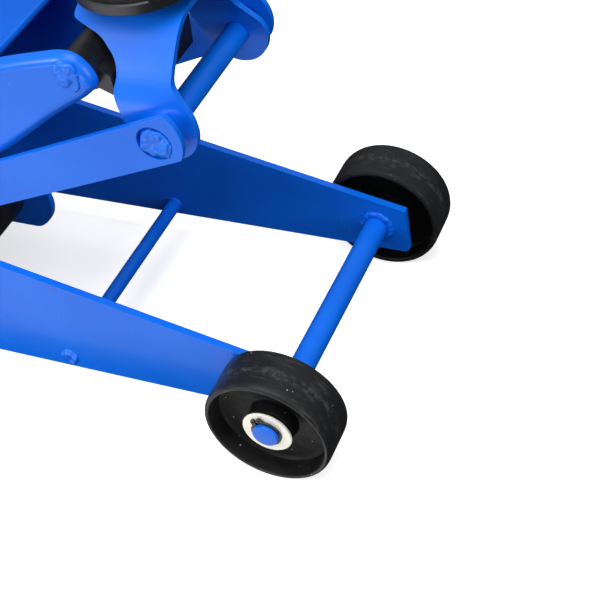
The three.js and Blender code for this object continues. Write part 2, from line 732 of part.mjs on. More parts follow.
// ---------------------------------------------------------------- rear casters
function casters() {
  for (const [side, sign] of SIDES) {
    const group = new THREE.Group();
    group.position.set(CASTER.x, sign * CASTER.y, 0);
    jack.add(group);
    const top = CASTER_DECK - GAP;
    const stem = [
      [0, 9],
      [9, 9],
      [9, 12.7],
      [5, 12.7],
      [5, 16.5],
      [17, 16.8],
      [19, 19],
      [19, top - 2],
      [0, top - 2],
    ];
    const flange = box([-29, 29], [-24, 24], [top - 4, top]);
    add(`caster_plate_${side}`, join(turnedZ(stem, 0, 0), flange), ZINC, group);
    add(`caster_fork_${side}`, casterFork(), ZINC, group);
    const { trail, radius, half } = CASTER;
    const axleZ = radius - FRONT_WHEEL_RADIUS;
    const axle = [
      [0, -18.5],
      [6.5, -18.5],
      [6.5, -15.3],
      [4, -15.3],
      [4, 15.3],
      [6.5, 15.3],
      [6.5, 18.5],
      [0, 18.5],
    ];
    add(`caster_axle_${side}`, turned(axle, 20).translate(-trail, 0, axleZ), STEEL, group);
    const tyre = [
      [4 + GAP, -half],
      [12, -half],
      [13, -half + 3],
      [radius - 6, -half + 3],
      [radius - 5, -half + 0.5],
      [radius - 1.5, -half + 0.5],
      [radius, -half + 3],
    ];
    const far = tyre.map(([r, y]) => [r, -y]).reverse();
    const wheel = turned([...tyre, ...far], 24).translate(-trail, 0, axleZ);
    add(`caster_wheel_${side}`, wheel, BLACK_PLASTIC, group);
  }
}

function casterFork() {
  const { trail, radius } = CASTER;
  const axleZ = radius - FRONT_WHEEL_RADIUS;
  const crown = box([-17, 17], [-15, 15], [13, 16]);
  const legs = SIDES.map(([, sign]) => {
    const outline = polygon([
      [-17, 16],
      [17, 16],
      [10, 2],
      [-trail + 9, axleZ - 4],
      [-trail, axleZ - 9],
      [-trail - 9, axleZ - 4],
      [-trail - 9, axleZ + 6],
    ]);
    return sheet(outline, [sign * 12, sign * 15]);
  });
  return cut(join(crown, ...legs), barZ(5 + GAP, 5, 20), barY(4 + GAP, -30, 30, -trail, axleZ));
}

chassis();
frontAxle();
frontWheels();
liftArm();
armShaft();
links();
carrier();
hydraulicUnit();
handle();
casters();

// The part's origin is on the floor, under the middle of the jack's length.
const extent = new THREE.Box3().setFromObject(jack, true);
jack.position.set(-(extent.min.x + extent.max.x) / 2, 0, FRONT_WHEEL_RADIUS);

export default jack;
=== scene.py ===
"""Looks of a hydraulic trolley jack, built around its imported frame.

Metres, +X to the front wheels, +Y to the jack's left, +Z up from the floor.
"""

from __future__ import annotations

import json
import logging
import math
from dataclasses import dataclass
from enum import Enum
from typing import Any, Iterable, Sequence

import bpy
from mathutils import Matrix, Vector

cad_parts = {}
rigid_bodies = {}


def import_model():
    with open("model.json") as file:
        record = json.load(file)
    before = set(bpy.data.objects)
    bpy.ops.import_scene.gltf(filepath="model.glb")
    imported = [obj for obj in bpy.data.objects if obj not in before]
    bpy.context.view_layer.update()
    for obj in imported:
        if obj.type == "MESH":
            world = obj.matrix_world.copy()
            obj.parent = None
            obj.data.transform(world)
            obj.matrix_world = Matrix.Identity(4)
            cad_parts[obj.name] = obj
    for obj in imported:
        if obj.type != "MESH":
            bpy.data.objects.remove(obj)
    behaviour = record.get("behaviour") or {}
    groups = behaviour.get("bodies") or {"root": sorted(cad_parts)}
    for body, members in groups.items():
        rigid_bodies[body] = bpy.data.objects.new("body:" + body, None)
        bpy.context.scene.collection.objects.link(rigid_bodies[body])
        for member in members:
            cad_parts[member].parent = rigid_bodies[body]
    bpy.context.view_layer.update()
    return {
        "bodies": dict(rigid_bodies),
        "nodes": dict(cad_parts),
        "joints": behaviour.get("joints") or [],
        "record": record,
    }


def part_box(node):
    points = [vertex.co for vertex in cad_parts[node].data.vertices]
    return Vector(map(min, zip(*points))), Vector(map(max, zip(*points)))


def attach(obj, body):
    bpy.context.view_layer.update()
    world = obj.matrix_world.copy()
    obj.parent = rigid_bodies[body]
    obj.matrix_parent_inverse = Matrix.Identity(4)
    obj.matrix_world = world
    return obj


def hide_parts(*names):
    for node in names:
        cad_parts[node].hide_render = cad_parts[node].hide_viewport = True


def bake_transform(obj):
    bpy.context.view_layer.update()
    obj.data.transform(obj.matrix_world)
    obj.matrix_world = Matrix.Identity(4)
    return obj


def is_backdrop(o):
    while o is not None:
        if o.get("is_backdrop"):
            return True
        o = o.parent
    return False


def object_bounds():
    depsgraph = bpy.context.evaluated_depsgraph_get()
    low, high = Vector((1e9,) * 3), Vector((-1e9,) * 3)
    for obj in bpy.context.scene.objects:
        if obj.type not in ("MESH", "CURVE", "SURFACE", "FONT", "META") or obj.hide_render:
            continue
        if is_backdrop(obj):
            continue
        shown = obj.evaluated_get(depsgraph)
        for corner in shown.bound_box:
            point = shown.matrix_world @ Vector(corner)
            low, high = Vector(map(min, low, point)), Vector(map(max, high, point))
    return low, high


LOG = logging.getLogger("trolley_jack")
MM = 0.001
SIDES = (("right", -1.0), ("left", 1.0))
WELD_SMOOTH = 60.0
Point = tuple[float, float]


class Axis(Enum):
    """Axes that a piece can be turned about."""

    X = (1.0, 0.0, 0.0)
    Y = (0.0, 1.0, 0.0)
    Z = (0.0, 0.0, 1.0)


class Slot(Enum):
    """The record's material slots."""

    BLUE = "blue_paint"
    BLACK = "black_paint"
    PLASTIC = "black_plastic"
    ZINC = "zinc"
    STEEL = "steel"
    CHROME = "chrome"
    SPRING = "spring_steel"
    RUBBER = "rubber"


# ---------------------------------------------------------------- shader maths
class Num:
    """A number carried by a shader socket, written in ordinary arithmetic."""

    def __init__(self, tree: "Tree", socket: bpy.types.NodeSocket) -> None:
        """Wraps one output socket of a tree."""
        self.tree = tree
        self.socket = socket

    def _math(self, operation: str, *values: Any) -> "Num":
        """One Math node. Args: operation and its values. Returns: its result."""
        inputs = dict(enumerate(values))
        return Num(self.tree, self.tree.node("ShaderNodeMath", {"operation": operation}, inputs)[0])

    def __add__(self, other: Any) -> "Num":
        """Sum."""
        return self._math("ADD", self, other)

    __radd__ = __add__

    def __sub__(self, other: Any) -> "Num":
        """Difference."""
        return self._math("SUBTRACT", self, other)

    def __rsub__(self, other: Any) -> "Num":
        """Difference, turned round."""
        return self._math("SUBTRACT", other, self)

    def __mul__(self, other: Any) -> "Num":
        """Product."""
        return self._math("MULTIPLY", self, other)

    __rmul__ = __mul__

    def __pow__(self, other: float) -> "Num":
        """Power."""
        return self._math("POWER", self, other)

    def turn_from(self, other: Any) -> "Num":
        """Angle whose tangent is this over another."""
        return self._math("ARCTAN2", self, other)

    def ramp(self, low: float, high: float) -> "Num":
        """Zero at low and under, one at high and over, straight between."""
        values = {"Value": self, "From Min": low, "From Max": high}
        return Num(self.tree, self.tree.node("ShaderNodeMapRange", {"clamp": True}, values)[0])


class Tree:
    """Builds one material's nodes around its Principled shader."""

    def __init__(self, name: str) -> None:
        """Makes an empty material. Args: name, the material's name."""
        self.material = bpy.data.materials.new(name)
        self.material.use_nodes = True
        self.nodes = self.material.node_tree.nodes
        self.links = self.material.node_tree.links
        self.shader = self.nodes["Principled BSDF"]

    def node(self, kind: str, settings: dict[str, Any], inputs: dict[Any, Any]) -> Any:
        """Adds a node.

        Args:
            kind: the node's type.
            settings: its own properties, set first.
            inputs: a value, a Num or an output socket for each input, by name or number.

        Returns:
            The node's outputs.
        """
        made = self.nodes.new(kind)
        for key, value in settings.items():
            setattr(made, key, value)
        for key, value in inputs.items():
            self.feed(made.inputs[key], value)
        return made.outputs

    def feed(self, socket: bpy.types.NodeSocket, value: Any) -> None:
        """Sets or links one input. Args: socket, and a value, a Num or an output."""
        if isinstance(value, Num):
            self.links.new(value.socket, socket)
        elif isinstance(value, bpy.types.NodeSocket):
            self.links.new(value, socket)
        elif isinstance(value, (tuple, list)) and len(value) == 3 and socket.type == "RGBA":
            socket.default_value = (*value, 1.0)
        else:
            socket.default_value = value

    def place(
        self,
        scale: Sequence[float] = (1, 1, 1),
        turn: Sequence[float] = (0, 0, 0),
        shift: Sequence[float] = (0, 0, 0),
    ) -> Any:
        """Object coordinates, stretched, turned and moved. Returns: the vector's socket."""
        where = self.node("ShaderNodeTexCoord", {}, {})["Object"]
        values = {"Vector": where, "Scale": tuple(scale), "Rotation": tuple(turn), "Location": tuple(shift)}
        return self.node("ShaderNodeMapping", {}, values)["Vector"]

    def split(self, vector: Any) -> tuple["Num", "Num", "Num"]:
        """Returns: a vector's three numbers."""
        x, y, z = self.node("ShaderNodeSeparateXYZ", {}, {"Vector": vector})
        return Num(self, x), Num(self, y), Num(self, z)

    def join(self, x: Any, y: Any, z: Any) -> Any:
        """Returns: a vector of three numbers."""
        return self.node("ShaderNodeCombineXYZ", {}, {"X": x, "Y": y, "Z": z})["Vector"]

    def noise(self, vector: Any, size_mm: float, detail: float = 2.0, rough: float = 0.5) -> Num:
        """Noise from 0 to 1 with features of about a size. Args: vector, size in mm."""
        values = {"Vector": vector, "Scale": 1 / (size_mm * MM), "Detail": detail, "Roughness": rough}
        return Num(self, self.node("ShaderNodeTexNoise", {}, values)[0])

    def cells(self, vector: Any, size_mm: float) -> Num:
        """Distance to the nearest of scattered points, in cells of about a size."""
        values = {"Vector": vector, "Scale": 1 / (size_mm * MM), "Randomness": 1.0}
        return Num(self, self.node("ShaderNodeTexVoronoi", {"feature": "F1"}, values)["Distance"])

    def mix(self, amount: Any, low: Any, high: Any) -> Any:
        """Mixes two colours. Args: amount from 0 to 1, the two colours. Returns: a socket."""
        made = self.nodes.new("ShaderNodeMix")
        made.data_type = "RGBA"
        self.feed(made.inputs[0], amount)
        self.feed(made.inputs[6], low)
        self.feed(made.inputs[7], high)
        return made.outputs[2]

    def bump(self, height: Num, depth_mm: float) -> Any:
        """Bump from a height of 0 to 1. Args: its depth in mm. Returns: a normal."""
        values = {"Height": height, "Distance": depth_mm * MM, "Strength": 1.0}
        return self.node("ShaderNodeBump", {}, values)["Normal"]

    def finish(self, **sockets: Any) -> bpy.types.Material:
        """Sets the shader's own sockets, named with _ for a space. Returns: the material."""
        for name, value in sockets.items():
            self.feed(self.shader.inputs[name.replace("_", " ")], value)
        return self.material


# ---------------------------------------------------------------- finishes
@dataclass(frozen=True)
class Enamel:
    """Sprayed gloss enamel on pressed steel: orange peel, nibs, chips and hairline scratches."""

    name: str = "blue_enamel"
    colour: tuple[float, float, float] = (0.0012, 0.150, 0.80)
    deep: tuple[float, float, float] = (0.0012, 0.128, 0.74)
    bare: tuple[float, float, float] = (0.30, 0.33, 0.38)
    roughness: float = 0.30
    peel_mm: float = 2.2
    wear: float = 1.0

    def build(self) -> bpy.types.Material:
        """Returns: the material."""
        t = Tree(self.name)
        at = t.place()
        drift = t.noise(at, 70, 3)
        tone = t.mix(drift.ramp(0.35, 0.7), self.deep, self.colour)
        nibs = t.cells(at, 9).ramp(0.075, 0.045)
        rare = t.noise(at, 30, 1).ramp(0.52, 0.56)
        scratch_at = t.place((1, 1, 0.06), (0.5, 0.9, 0.3))
        scratch = t.noise(scratch_at, 0.9, 1).ramp(0.735, 0.76) * t.noise(at, 45, 1).ramp(0.58, 0.66)
        chips = t.noise(at, 2.4, 3, 0.65).ramp(0.735, 0.75) * t.noise(at, 60, 1).ramp(0.55, 0.62)
        worn = (scratch * 0.35 + chips * 0.8) * self.wear
        colour = t.mix(worn, tone, self.bare)
        peel = t.noise(at, self.peel_mm, 1) * 0.8 + t.noise(at, 11, 1) * 1.6
        height = peel + nibs * rare * 2.2 - worn * 1.5
        smear = t.noise(at, 24, 4, 0.6)
        return t.finish(
            Base_Color=colour,
            Roughness=smear.ramp(0.3, 0.8) * 0.1 + self.roughness + worn * 0.2,
            Coat_Weight=0.12,
            Coat_Roughness=0.12,
            Specular_IOR_Level=0.28,
            Normal=t.bump(height, 0.035),
        )


@dataclass(frozen=True)
class CastEnamel:
    """Satin black enamel over a sand casting."""

    name: str = "black_enamel"
    colour: tuple[float, float, float] = (0.006, 0.0064, 0.0075)
    dust: tuple[float, float, float] = (0.03, 0.031, 0.035)
    grain_mm: float = 1.6

    def build(self) -> bpy.types.Material:
        """Returns: the material."""
        t = Tree(self.name)
        at = t.place()
        dusty = t.noise(at, 22, 5, 0.65).ramp(0.5, 0.78)
        grain = t.noise(at, self.grain_mm, 3, 0.6)
        return t.finish(
            Base_Color=t.mix(dusty * 0.6, self.colour, self.dust),
            Roughness=dusty * 0.2 + 0.38,
            Coat_Weight=0.15,
            Coat_Roughness=0.25,
            Normal=t.bump(grain, 0.12),
        )


@dataclass(frozen=True)
class Nylon:
    """Moulded black nylon: fine moulding grain, scuffs and a little dust."""

    name: str = "black_nylon"
    colour: tuple[float, float, float] = (0.0045, 0.0047, 0.0052)
    scuff: tuple[float, float, float] = (0.05, 0.052, 0.054)
    speck: tuple[float, float, float] = (0.45, 0.45, 0.44)

    def build(self) -> bpy.types.Material:
        """Returns: the material."""
        t = Tree(self.name)
        at = t.place()
        rolled = t.place((1, 0.16, 1))
        scuffs = t.noise(rolled, 3.2, 4, 0.7).ramp(0.56, 0.74) * t.noise(at, 26, 2).ramp(0.42, 0.62)
        haze = t.noise(at, 14, 4, 0.6).ramp(0.35, 0.85)
        specks = t.cells(at, 5).ramp(0.06, 0.035) * t.noise(at, 17, 1).ramp(0.58, 0.62)
        colour = t.mix(scuffs * 0.55 + haze * 0.12, self.colour, self.scuff)
        grain = t.noise(at, 0.8, 2) * 0.5 + t.noise(at, 6, 2)
        return t.finish(
            Base_Color=t.mix(specks, colour, self.speck),
            Roughness=scuffs * 0.22 + haze * 0.1 + 0.33,
            Specular_IOR_Level=0.5,
            Normal=t.bump(grain + specks * 0.8, 0.05),
        )


@dataclass(frozen=True)
class RolledNylon:
    """A rolled wheel's nylon: the tread painted lighter than the dish as painted sheen, the dish painted
    darker as painted shade, sheen in patches both in the gloss and painted into the colour, scuffs along
    the tread, grit and dust.

    The hub, the rim's radii and the worn band's distance from the middle plane are in metres.
    """

    name: str
    hub: Point
    rim: Point = (0.0462, 0.0490)
    band: float = 0.1265
    # the dish's colour, kept darker than the tread: painted shade in the dish
    colour: tuple[float, float, float] = (0.0012, 0.0012, 0.0014)
    # the tread's colour, lighter than the dish to stand for its sheen: painted sheen
    tread: tuple[float, float, float] = (0.0135, 0.0142, 0.0153)
    scuff: tuple[float, float, float] = (0.10, 0.104, 0.108)
    speck: tuple[float, float, float] = (0.55, 0.55, 0.52)

    def build(self) -> bpy.types.Material:
        """Returns: the material."""
        t = Tree(self.name)
        at = t.place()
        x, y, z = t.split(t.place(shift=(-self.hub[0], 0, -self.hub[1])))
        around = z.turn_from(x) * 0.05
        across = (x * x + z * z) ** 0.5
        off_line = ((y * y) ** 0.5 - self.band) ** 2 * 1e5
        rolled = t.join(around * 0.16, y, across)
        near_rim = across.ramp(*self.rim)
        scuffs = t.noise(rolled, 2.2, 5, 0.72).ramp(0.52, 0.70) * t.noise(at, 17, 3).ramp(0.44, 0.58)
        streaks = t.noise(t.join(around * 0.05, y, across), 0.9, 2).ramp(0.62, 0.72)
        # haze makes sheen patches: in the roughness, and also painted into the colour below as painted
        # sheen
        haze = t.noise(at, 15, 4, 0.62).ramp(0.40, 0.66)
        worn = off_line.ramp(2.4, 0.2) * t.noise(at, 5, 4, 0.7).ramp(0.47, 0.66)
        specks = t.cells(at, 7).ramp(0.085, 0.055) * t.noise(at, 15, 1).ramp(0.56, 0.60)
        marks = (scuffs * 0.4 + streaks * haze * 0.12 + worn * 0.4) * near_rim
        # painted sheen: the tread takes the lighter tread colour, less where haze is high; the dish keeps
        # the darker colour as painted shade
        painted_sheen = near_rim * (1.0 - haze * 0.75)
        # haze also mixes the tread towards the scuff colour: painted sheen in patches, added to the real
        # scuffs and wear
        colour = t.mix(marks + haze * near_rim * 0.06, t.mix(painted_sheen, self.colour, self.tread), self.scuff)
        grain = t.noise(at, 0.8, 2) * 0.6 + t.noise(at, 7, 2) * 3.0 + (scuffs + worn * 2.0) * near_rim
        return t.finish(
            Base_Color=t.mix(specks, colour, self.speck),
            Roughness=haze * 0.22 + marks * 0.3 + (1.0 - near_rim) * 0.2 + 0.28,
            Specular_IOR_Level=0.26,
            Normal=t.bump(grain + specks, 0.06),
        )


@dataclass(frozen=True)
class Plate:
    """Zinc-plated or turned steel: faint rolling lines, mottled reflection."""

    name: str
    colour: tuple[float, float, float]
    tint: tuple[float, float, float]
    roughness: float
    metallic: float = 1.0
    line_mm: float = 0.5

    def build(self) -> bpy.types.Material:
        """Returns: the material."""
        t = Tree(self.name)
        at = t.place()
        lines = t.noise(t.place((1, 1, 0.08)), self.line_mm, 2)
        mottle = t.noise(at, 5, 4, 0.6)
        return t.finish(
            Base_Color=t.mix(mottle.ramp(0.35, 0.7), self.colour, self.tint),
            Metallic=self.metallic,
            Roughness=mottle.ramp(0.3, 0.8) * 0.16 + self.roughness,
            Normal=t.bump(lines + mottle * 0.6, 0.012),
        )


@dataclass(frozen=True)
class Chrome:
    """Ground and hard-chromed rod."""

    name: str = "hard_chrome"
    colour: tuple[float, float, float] = (0.76, 0.77, 0.79)

    def build(self) -> bpy.types.Material:
        """Returns: the material."""
        t = Tree(self.name)
        film = t.noise(t.place(), 9, 3)
        return t.finish(
            Base_Color=self.colour,
            Metallic=1.0,
            Roughness=film.ramp(0.4, 0.8) * 0.08 + 0.07,
            Normal=t.bump(t.noise(t.place((6, 1, 1)), 1.4, 1), 0.003),
        )


@dataclass(frozen=True)
class Rubber:
    """Moulded black rubber with bloom."""

    name: str = "rubber"
    colour: tuple[float, float, float] = (0.013, 0.013, 0.014)
    bloom: tuple[float, float, float] = (0.06, 0.06, 0.062)

    def build(self) -> bpy.types.Material:
        """Returns: the material."""
        t = Tree(self.name)
        at = t.place()
        bloom = t.noise(at, 16, 5, 0.7).ramp(0.45, 0.8)
        return t.finish(
            Base_Color=t.mix(bloom * 0.5, self.colour, self.bloom),
            Roughness=bloom * 0.15 + 0.62,
            Normal=t.bump(t.noise(at, 0.7, 3), 0.05),
        )


class Paintshop:
    """Makes each finish once and hands it out by slot."""

    def __init__(self) -> None:
        """Builds every finish."""
        self.materials = {
            Slot.BLUE: Enamel().build(),
            Slot.BLACK: CastEnamel().build(),
            Slot.PLASTIC: Nylon().build(),
            Slot.ZINC: Plate("zinc_plate", (0.88, 0.87, 0.80), (0.80, 0.77, 0.64), 0.3, 0.4).build(),
            Slot.STEEL: Plate("turned_steel", (0.42, 0.42, 0.43), (0.30, 0.29, 0.28), 0.3).build(),
            Slot.CHROME: Chrome().build(),
            Slot.SPRING: Plate("black_steel", (0.05, 0.05, 0.055), (0.09, 0.085, 0.08), 0.38).build(),
            Slot.RUBBER: Rubber().build(),
        }
        self.rolled: bpy.types.Material | None = None

    def tread(self, hub: Vector) -> bpy.types.Material:
        """Nylon scuffed round a wheel's axis, with painted sheen on the tread and painted shade in the
        dish. Args: a point on the axis. Returns: the material.
        """
        if self.rolled is None:
            self.rolled = RolledNylon("rolled_nylon", (hub.x, hub.z)).build()
        return self.rolled

    def paint(self, piece: bpy.types.Object, material: bpy.types.Material) -> None:
        """Gives a piece one material all over."""
        piece.data.materials.clear()
        piece.data.materials.append(material)

    def dress(self, piece: bpy.types.Object, slot: Slot) -> None:
        """Gives a piece its slot's finish. Args: the piece and its slot."""
        self.paint(piece, self.materials[slot])


# ---------------------------------------------------------------- outlines
def arc(middle: Point, radius: float, start: float, stop: float, steps: int = 12) -> list[Point]:
    """Points along an arc.

    Args:
        middle, radius: its circle, in mm.
        start, stop: its ends, in degrees.
        steps: how many stretches it has.

    Returns:
        The points, ends included.
    """
    turns = [math.radians(start + (stop - start) * step / steps) for step in range(steps + 1)]
    return [(middle[0] + radius * math.cos(a), middle[1] + radius * math.sin(a)) for a in turns]


def rounded(corners: Sequence[tuple[float, float, float]], steps: int = 8) -> list[Point]:
    """An outline with its corners eased.

    Args:
        corners: each corner as x, z and how far back its easing starts, in mm.
        steps: stretches in each eased corner.

    Returns:
        The outline's points.
    """
    made: list[Point] = []
    for place, (x, z, reach) in enumerate(corners):
        here = Vector((x, z))
        if not reach:
            made.append((x, z))
            continue
        before = Vector(corners[place - 1][:2]) - here
        after = Vector(corners[(place + 1) % len(corners)][:2]) - here
        start = here + before.normalized() * reach
        stop = here + after.normalized() * reach
        for step in range(steps + 1):
            part = step / steps
            point = start.lerp(here, part).lerp(here.lerp(stop, part), part)
            made.append((point.x, point.y))
    return made


def placed(outline: Iterable[Point], middle: Vector, turn: float = 0.0) -> list[Vector]:
    """A side outline in mm put in the frame's XZ plane.

    Args:
        outline: its points, from its own origin.
        middle: where that origin goes, in metres.
        turn: how far +X turns towards +Z, in radians.

    Returns:
        The points in metres, at Y zero.
    """
    cos, sin = math.cos(turn) * MM, math.sin(turn) * MM
    return [Vector((middle.x + x * cos - z * sin, 0.0, middle.z + x * sin + z * cos)) for x, z in outline]


# ---------------------------------------------------------------- bench
class Bench:
    """Models pieces with Blender's own operators and hands them to the frame."""

    def __init__(self, frame: dict[str, Any], shop: Paintshop) -> None:
        """Args: the loaded frame, and the finishes."""
        self.nodes = frame["nodes"]
        self.shop = shop
        rows = frame["record"]["behaviour"]["bodies"]
        self.bodies = {node: body for body, nodes in rows.items() for node in nodes}
        self.slots = {row["node"]: Slot(row["material_slot"]) for row in frame["record"]["subparts"]}

    # -- places
    def middle(self, node: str) -> Vector:
        """Returns: the middle of a CAD node's box."""
        low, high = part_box(node)
        return (Vector(low) + Vector(high)) / 2

    def axis_point(self, node: str) -> Vector:
        """Returns: the middle of a CAD node's box, moved to the jack's middle plane."""
        here = self.middle(node)
        return Vector((here.x, 0.0, here.z))

    # -- meshes
    def chain(self, name: str, points: Sequence[Vector]) -> bpy.types.Object:
        """Draws a chain of edges and stays in edit mode. Returns: the piece."""
        bpy.ops.object.select_all(action="DESELECT")
        bpy.ops.mesh.primitive_plane_add(size=MM)
        piece = bpy.context.object
        piece.name = piece.data.name = name
        bpy.ops.object.mode_set(mode="EDIT")
        bpy.ops.mesh.select_all(action="SELECT")
        bpy.ops.mesh.merge(type="CENTER")
        bpy.ops.transform.translate(value=points[0])
        for last, point in zip(points, points[1:]):
            bpy.ops.mesh.extrude_vertices_move(TRANSFORM_OT_translate={"value": point - last})
        bpy.ops.mesh.select_all(action="SELECT")
        return piece

    def close(self, piece: bpy.types.Object) -> bpy.types.Object:
        """Merges doubles, turns faces outwards and leaves edit mode. Returns: the piece."""
        bpy.ops.mesh.select_all(action="SELECT")
        bpy.ops.mesh.remove_doubles(threshold=2e-6)
        bpy.ops.mesh.normals_make_consistent(inside=False)
        bpy.ops.object.mode_set(mode="OBJECT")
        return piece

    def slab(self, name: str, outline: Sequence[Vector], low: float, high: float) -> bpy.types.Object:
        """Sheet cut to an outline. Args: outline in XZ, its two Y faces in metres. Returns: the piece."""
        piece = self.chain(name, [Vector((p.x, low, p.z)) for p in outline])
        bpy.ops.mesh.edge_face_add()
        bpy.ops.mesh.extrude_region_move(TRANSFORM_OT_translate={"value": (0, high - low, 0)})
        return self.close(piece)

    def turned(
        self,
        name: str,
        profile: Sequence[Point],
        middle: Vector,
        along: Sequence[float] = Axis.Y.value,
        steps: int = 72,
    ) -> bpy.types.Object:
        """Turns a profile about an axis.

        Args:
            name: the piece's name.
            profile: radius and height in mm; it starts and ends on the axis, or closes on itself.
            middle: where height zero is, in metres.
            along: the axis.
            steps: faces round the piece.

        Returns:
            The piece.
        """
        axis = Vector(along).normalized()
        across = axis.orthogonal().normalized()
        ring = list(profile)
        if ring[0][0] > 0:
            ring.append(ring[0])
        points = [middle + (across * radius + axis * height) * MM for radius, height in ring]
        piece = self.chain(name, points)
        bpy.ops.mesh.spin(steps=steps, angle=math.tau, center=middle, axis=axis)
        return self.close(piece)

    def bar(self, node: str, axis: Axis, chamfer: float = 0.8, steps: int = 48) -> bpy.types.Object:
        """Round bar filling a CAD node's box. Args: node, axis, end chamfer in mm. Returns: the piece."""
        low, high = (Vector(corner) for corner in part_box(node))
        size = (high - low) / MM
        along = Vector(axis.value)
        half = size.dot(along) / 2
        radius = max((size - along * size.dot(along))) / 2
        end = [(0, half), (radius - chamfer, half), (radius, half - chamfer)]
        profile = end + [(r, -h) for r, h in reversed(end)]
        return self.turned(f"{node}_turned", profile, (low + high) / 2, axis.value, steps)

    def copy_of(self, node: str, name: str = "") -> bpy.types.Object:
        """Own copy of a CAD node's mesh, merged and with its flat faces whole. Returns: the piece."""
        name = name or f"{node}_shaped"
        mesh = self.nodes[node].data.copy()
        mesh.name = name
        piece = bpy.data.objects.new(name, mesh)
        bpy.context.scene.collection.objects.link(piece)
        self.only(piece)
        bpy.ops.object.mode_set(mode="EDIT")
        bpy.ops.mesh.select_all(action="SELECT")
        bpy.ops.mesh.remove_doubles(threshold=5e-6)
        bpy.ops.mesh.dissolve_limited(angle_limit=math.radians(0.8))
        return self.close(piece)

    def only(self, piece: bpy.types.Object) -> None:
        """Selects one piece and makes it active."""
        bpy.ops.object.select_all(action="DESELECT")
        piece.select_set(True)
        bpy.context.view_layer.objects.active = piece

    # -- modifiers
    def modify(self, piece: bpy.types.Object, kind: str, **settings: Any) -> bpy.types.Object:
        """Adds a modifier and applies it. Args: piece, its type and settings. Returns: the piece."""
        modifier = piece.modifiers.new(kind.lower(), kind)
        for key, value in settings.items():
            setattr(modifier, key, value)
        self.only(piece)
        bpy.ops.object.modifier_apply(modifier=modifier.name)
        return piece

    def ease(
        self, piece: bpy.types.Object, width: float, segments: int = 2, angle: float = 35
    ) -> bpy.types.Object:
        """Rounds edges sharper than an angle. Args: width in mm, angle in degrees. Returns: the piece."""
        return self.modify(
            piece,
            "BEVEL",
            width=width * MM,
            segments=segments,
            limit_method="ANGLE",
            angle_limit=math.radians(angle),
            use_clamp_overlap=True,
        )

    def combine(self, piece: bpy.types.Object, tool: bpy.types.Object, how: str) -> bpy.types.Object:
        """Cuts, joins or crosses with a tool, which is used up. Returns: the piece."""
        self.modify(piece, "BOOLEAN", object=tool, operation=how, solver="EXACT")
        bpy.data.objects.remove(tool, do_unlink=True)
        return piece

    def drill(
        self,
        piece: bpy.types.Object,
        middle: Vector,
        radius: float,
        half: float,
        along: Axis = Axis.Y,
        steps: int = 48,
    ) -> bpy.types.Object:
        """Bores a hole. Args: its middle, radius and half length in mm, axis. Returns: the piece."""
        profile = [(0, -half), (radius, -half), (radius, half), (0, half)]
        tool = self.turned("drill", profile, middle, along.value, steps)
        return self.combine(piece, tool, "DIFFERENCE")

    def roughen(self, piece: bpy.types.Object, lumps: float, depth: float) -> bpy.types.Object:
        """Makes a surface uneven. Args: lump size and depth in mm. Returns: the piece."""
        texture = bpy.data.textures.new(f"{piece.name}_lumps", "CLOUDS")
        texture.noise_scale = lumps * MM
        texture.noise_depth = 2
        return self.modify(
            piece, "DISPLACE", texture=texture, strength=depth * MM, mid_level=0.5, texture_coords="LOCAL"
        )

    def bead(self, name: str, middle: Vector, radius: float, thick: float) -> bpy.types.Object:
        """Ring of weld about Y. Args: its middle, ring radius and bead radius in mm. Returns: the piece."""
        steps = 10
        ring = [
            (radius + thick * math.cos(a), thick * 0.8 * math.sin(a))
            for a in (math.tau * step / steps for step in range(steps))
        ]
        piece = self.turned(name, ring, middle, steps=96)
        return self.roughen(self.roughen(piece, 6.0, thick), 2.6, thick * 0.9)

    def plug(self, name: str, middle: Vector, radius: float, rise: float, side: float) -> bpy.types.Object:
        """Lumpy dome of a plug weld.

        Args:
            name, middle: the piece's name, and the middle of its foot in metres.
            radius, rise: its sizes in mm.
            side: which way it faces along Y, as a sign.

        Returns:
            The piece.
        """
        rings = 12
        dome = [
            (radius * math.sin(a), side * rise * math.cos(a))
            for a in (math.pi / 2 * step / rings for step in range(rings + 1))
        ]
        foot = [(radius, -side), (0, -side)]
        piece = self.turned(name, dome + foot, middle, steps=56)
        return self.roughen(self.roughen(piece, 7.0, 5.6), 2.4, 1.4)

    # -- delivery
    def deliver(
        self, piece: bpy.types.Object, body: str, slot: Slot, *stands_for: str, smooth: float = 32
    ) -> bpy.types.Object:
        """Smooths and paints a piece and gives it to its body.

        Args:
            piece, body, slot: the piece, the body it rides on and its finish.
            stands_for: CAD nodes that it replaces.
            smooth: edges flatter than this many degrees are smoothed.

        Returns:
            The piece.
        """
        self.only(piece)
        bpy.ops.object.shade_smooth_by_angle(angle=math.radians(smooth))
        self.modify(piece, "WEIGHTED_NORMAL", mode="FACE_AREA", weight=100, keep_sharp=True)
        self.shop.dress(piece, slot)
        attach(piece, body)
        if stands_for:
            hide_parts(*stands_for)
        LOG.info("%s: %d faces on %s", piece.name, len(piece.data.polygons), body)
        return piece

    def stand_in(self, piece: bpy.types.Object, node: str, smooth: float = 32) -> bpy.types.Object:
        """Delivers a piece in one node's place, with its body and slot. Returns: the piece."""
        return self.deliver(piece, self.bodies[node], self.slots[node], node, smooth=smooth)

    def refine(self, node: str, width: float, segments: int = 2, angle: float = 35) -> bpy.types.Object:
        """Delivers a node's copy with eased edges. Args: width in mm. Returns: the piece."""
        return self.stand_in(self.ease(self.copy_of(node), width, segments, angle), node)


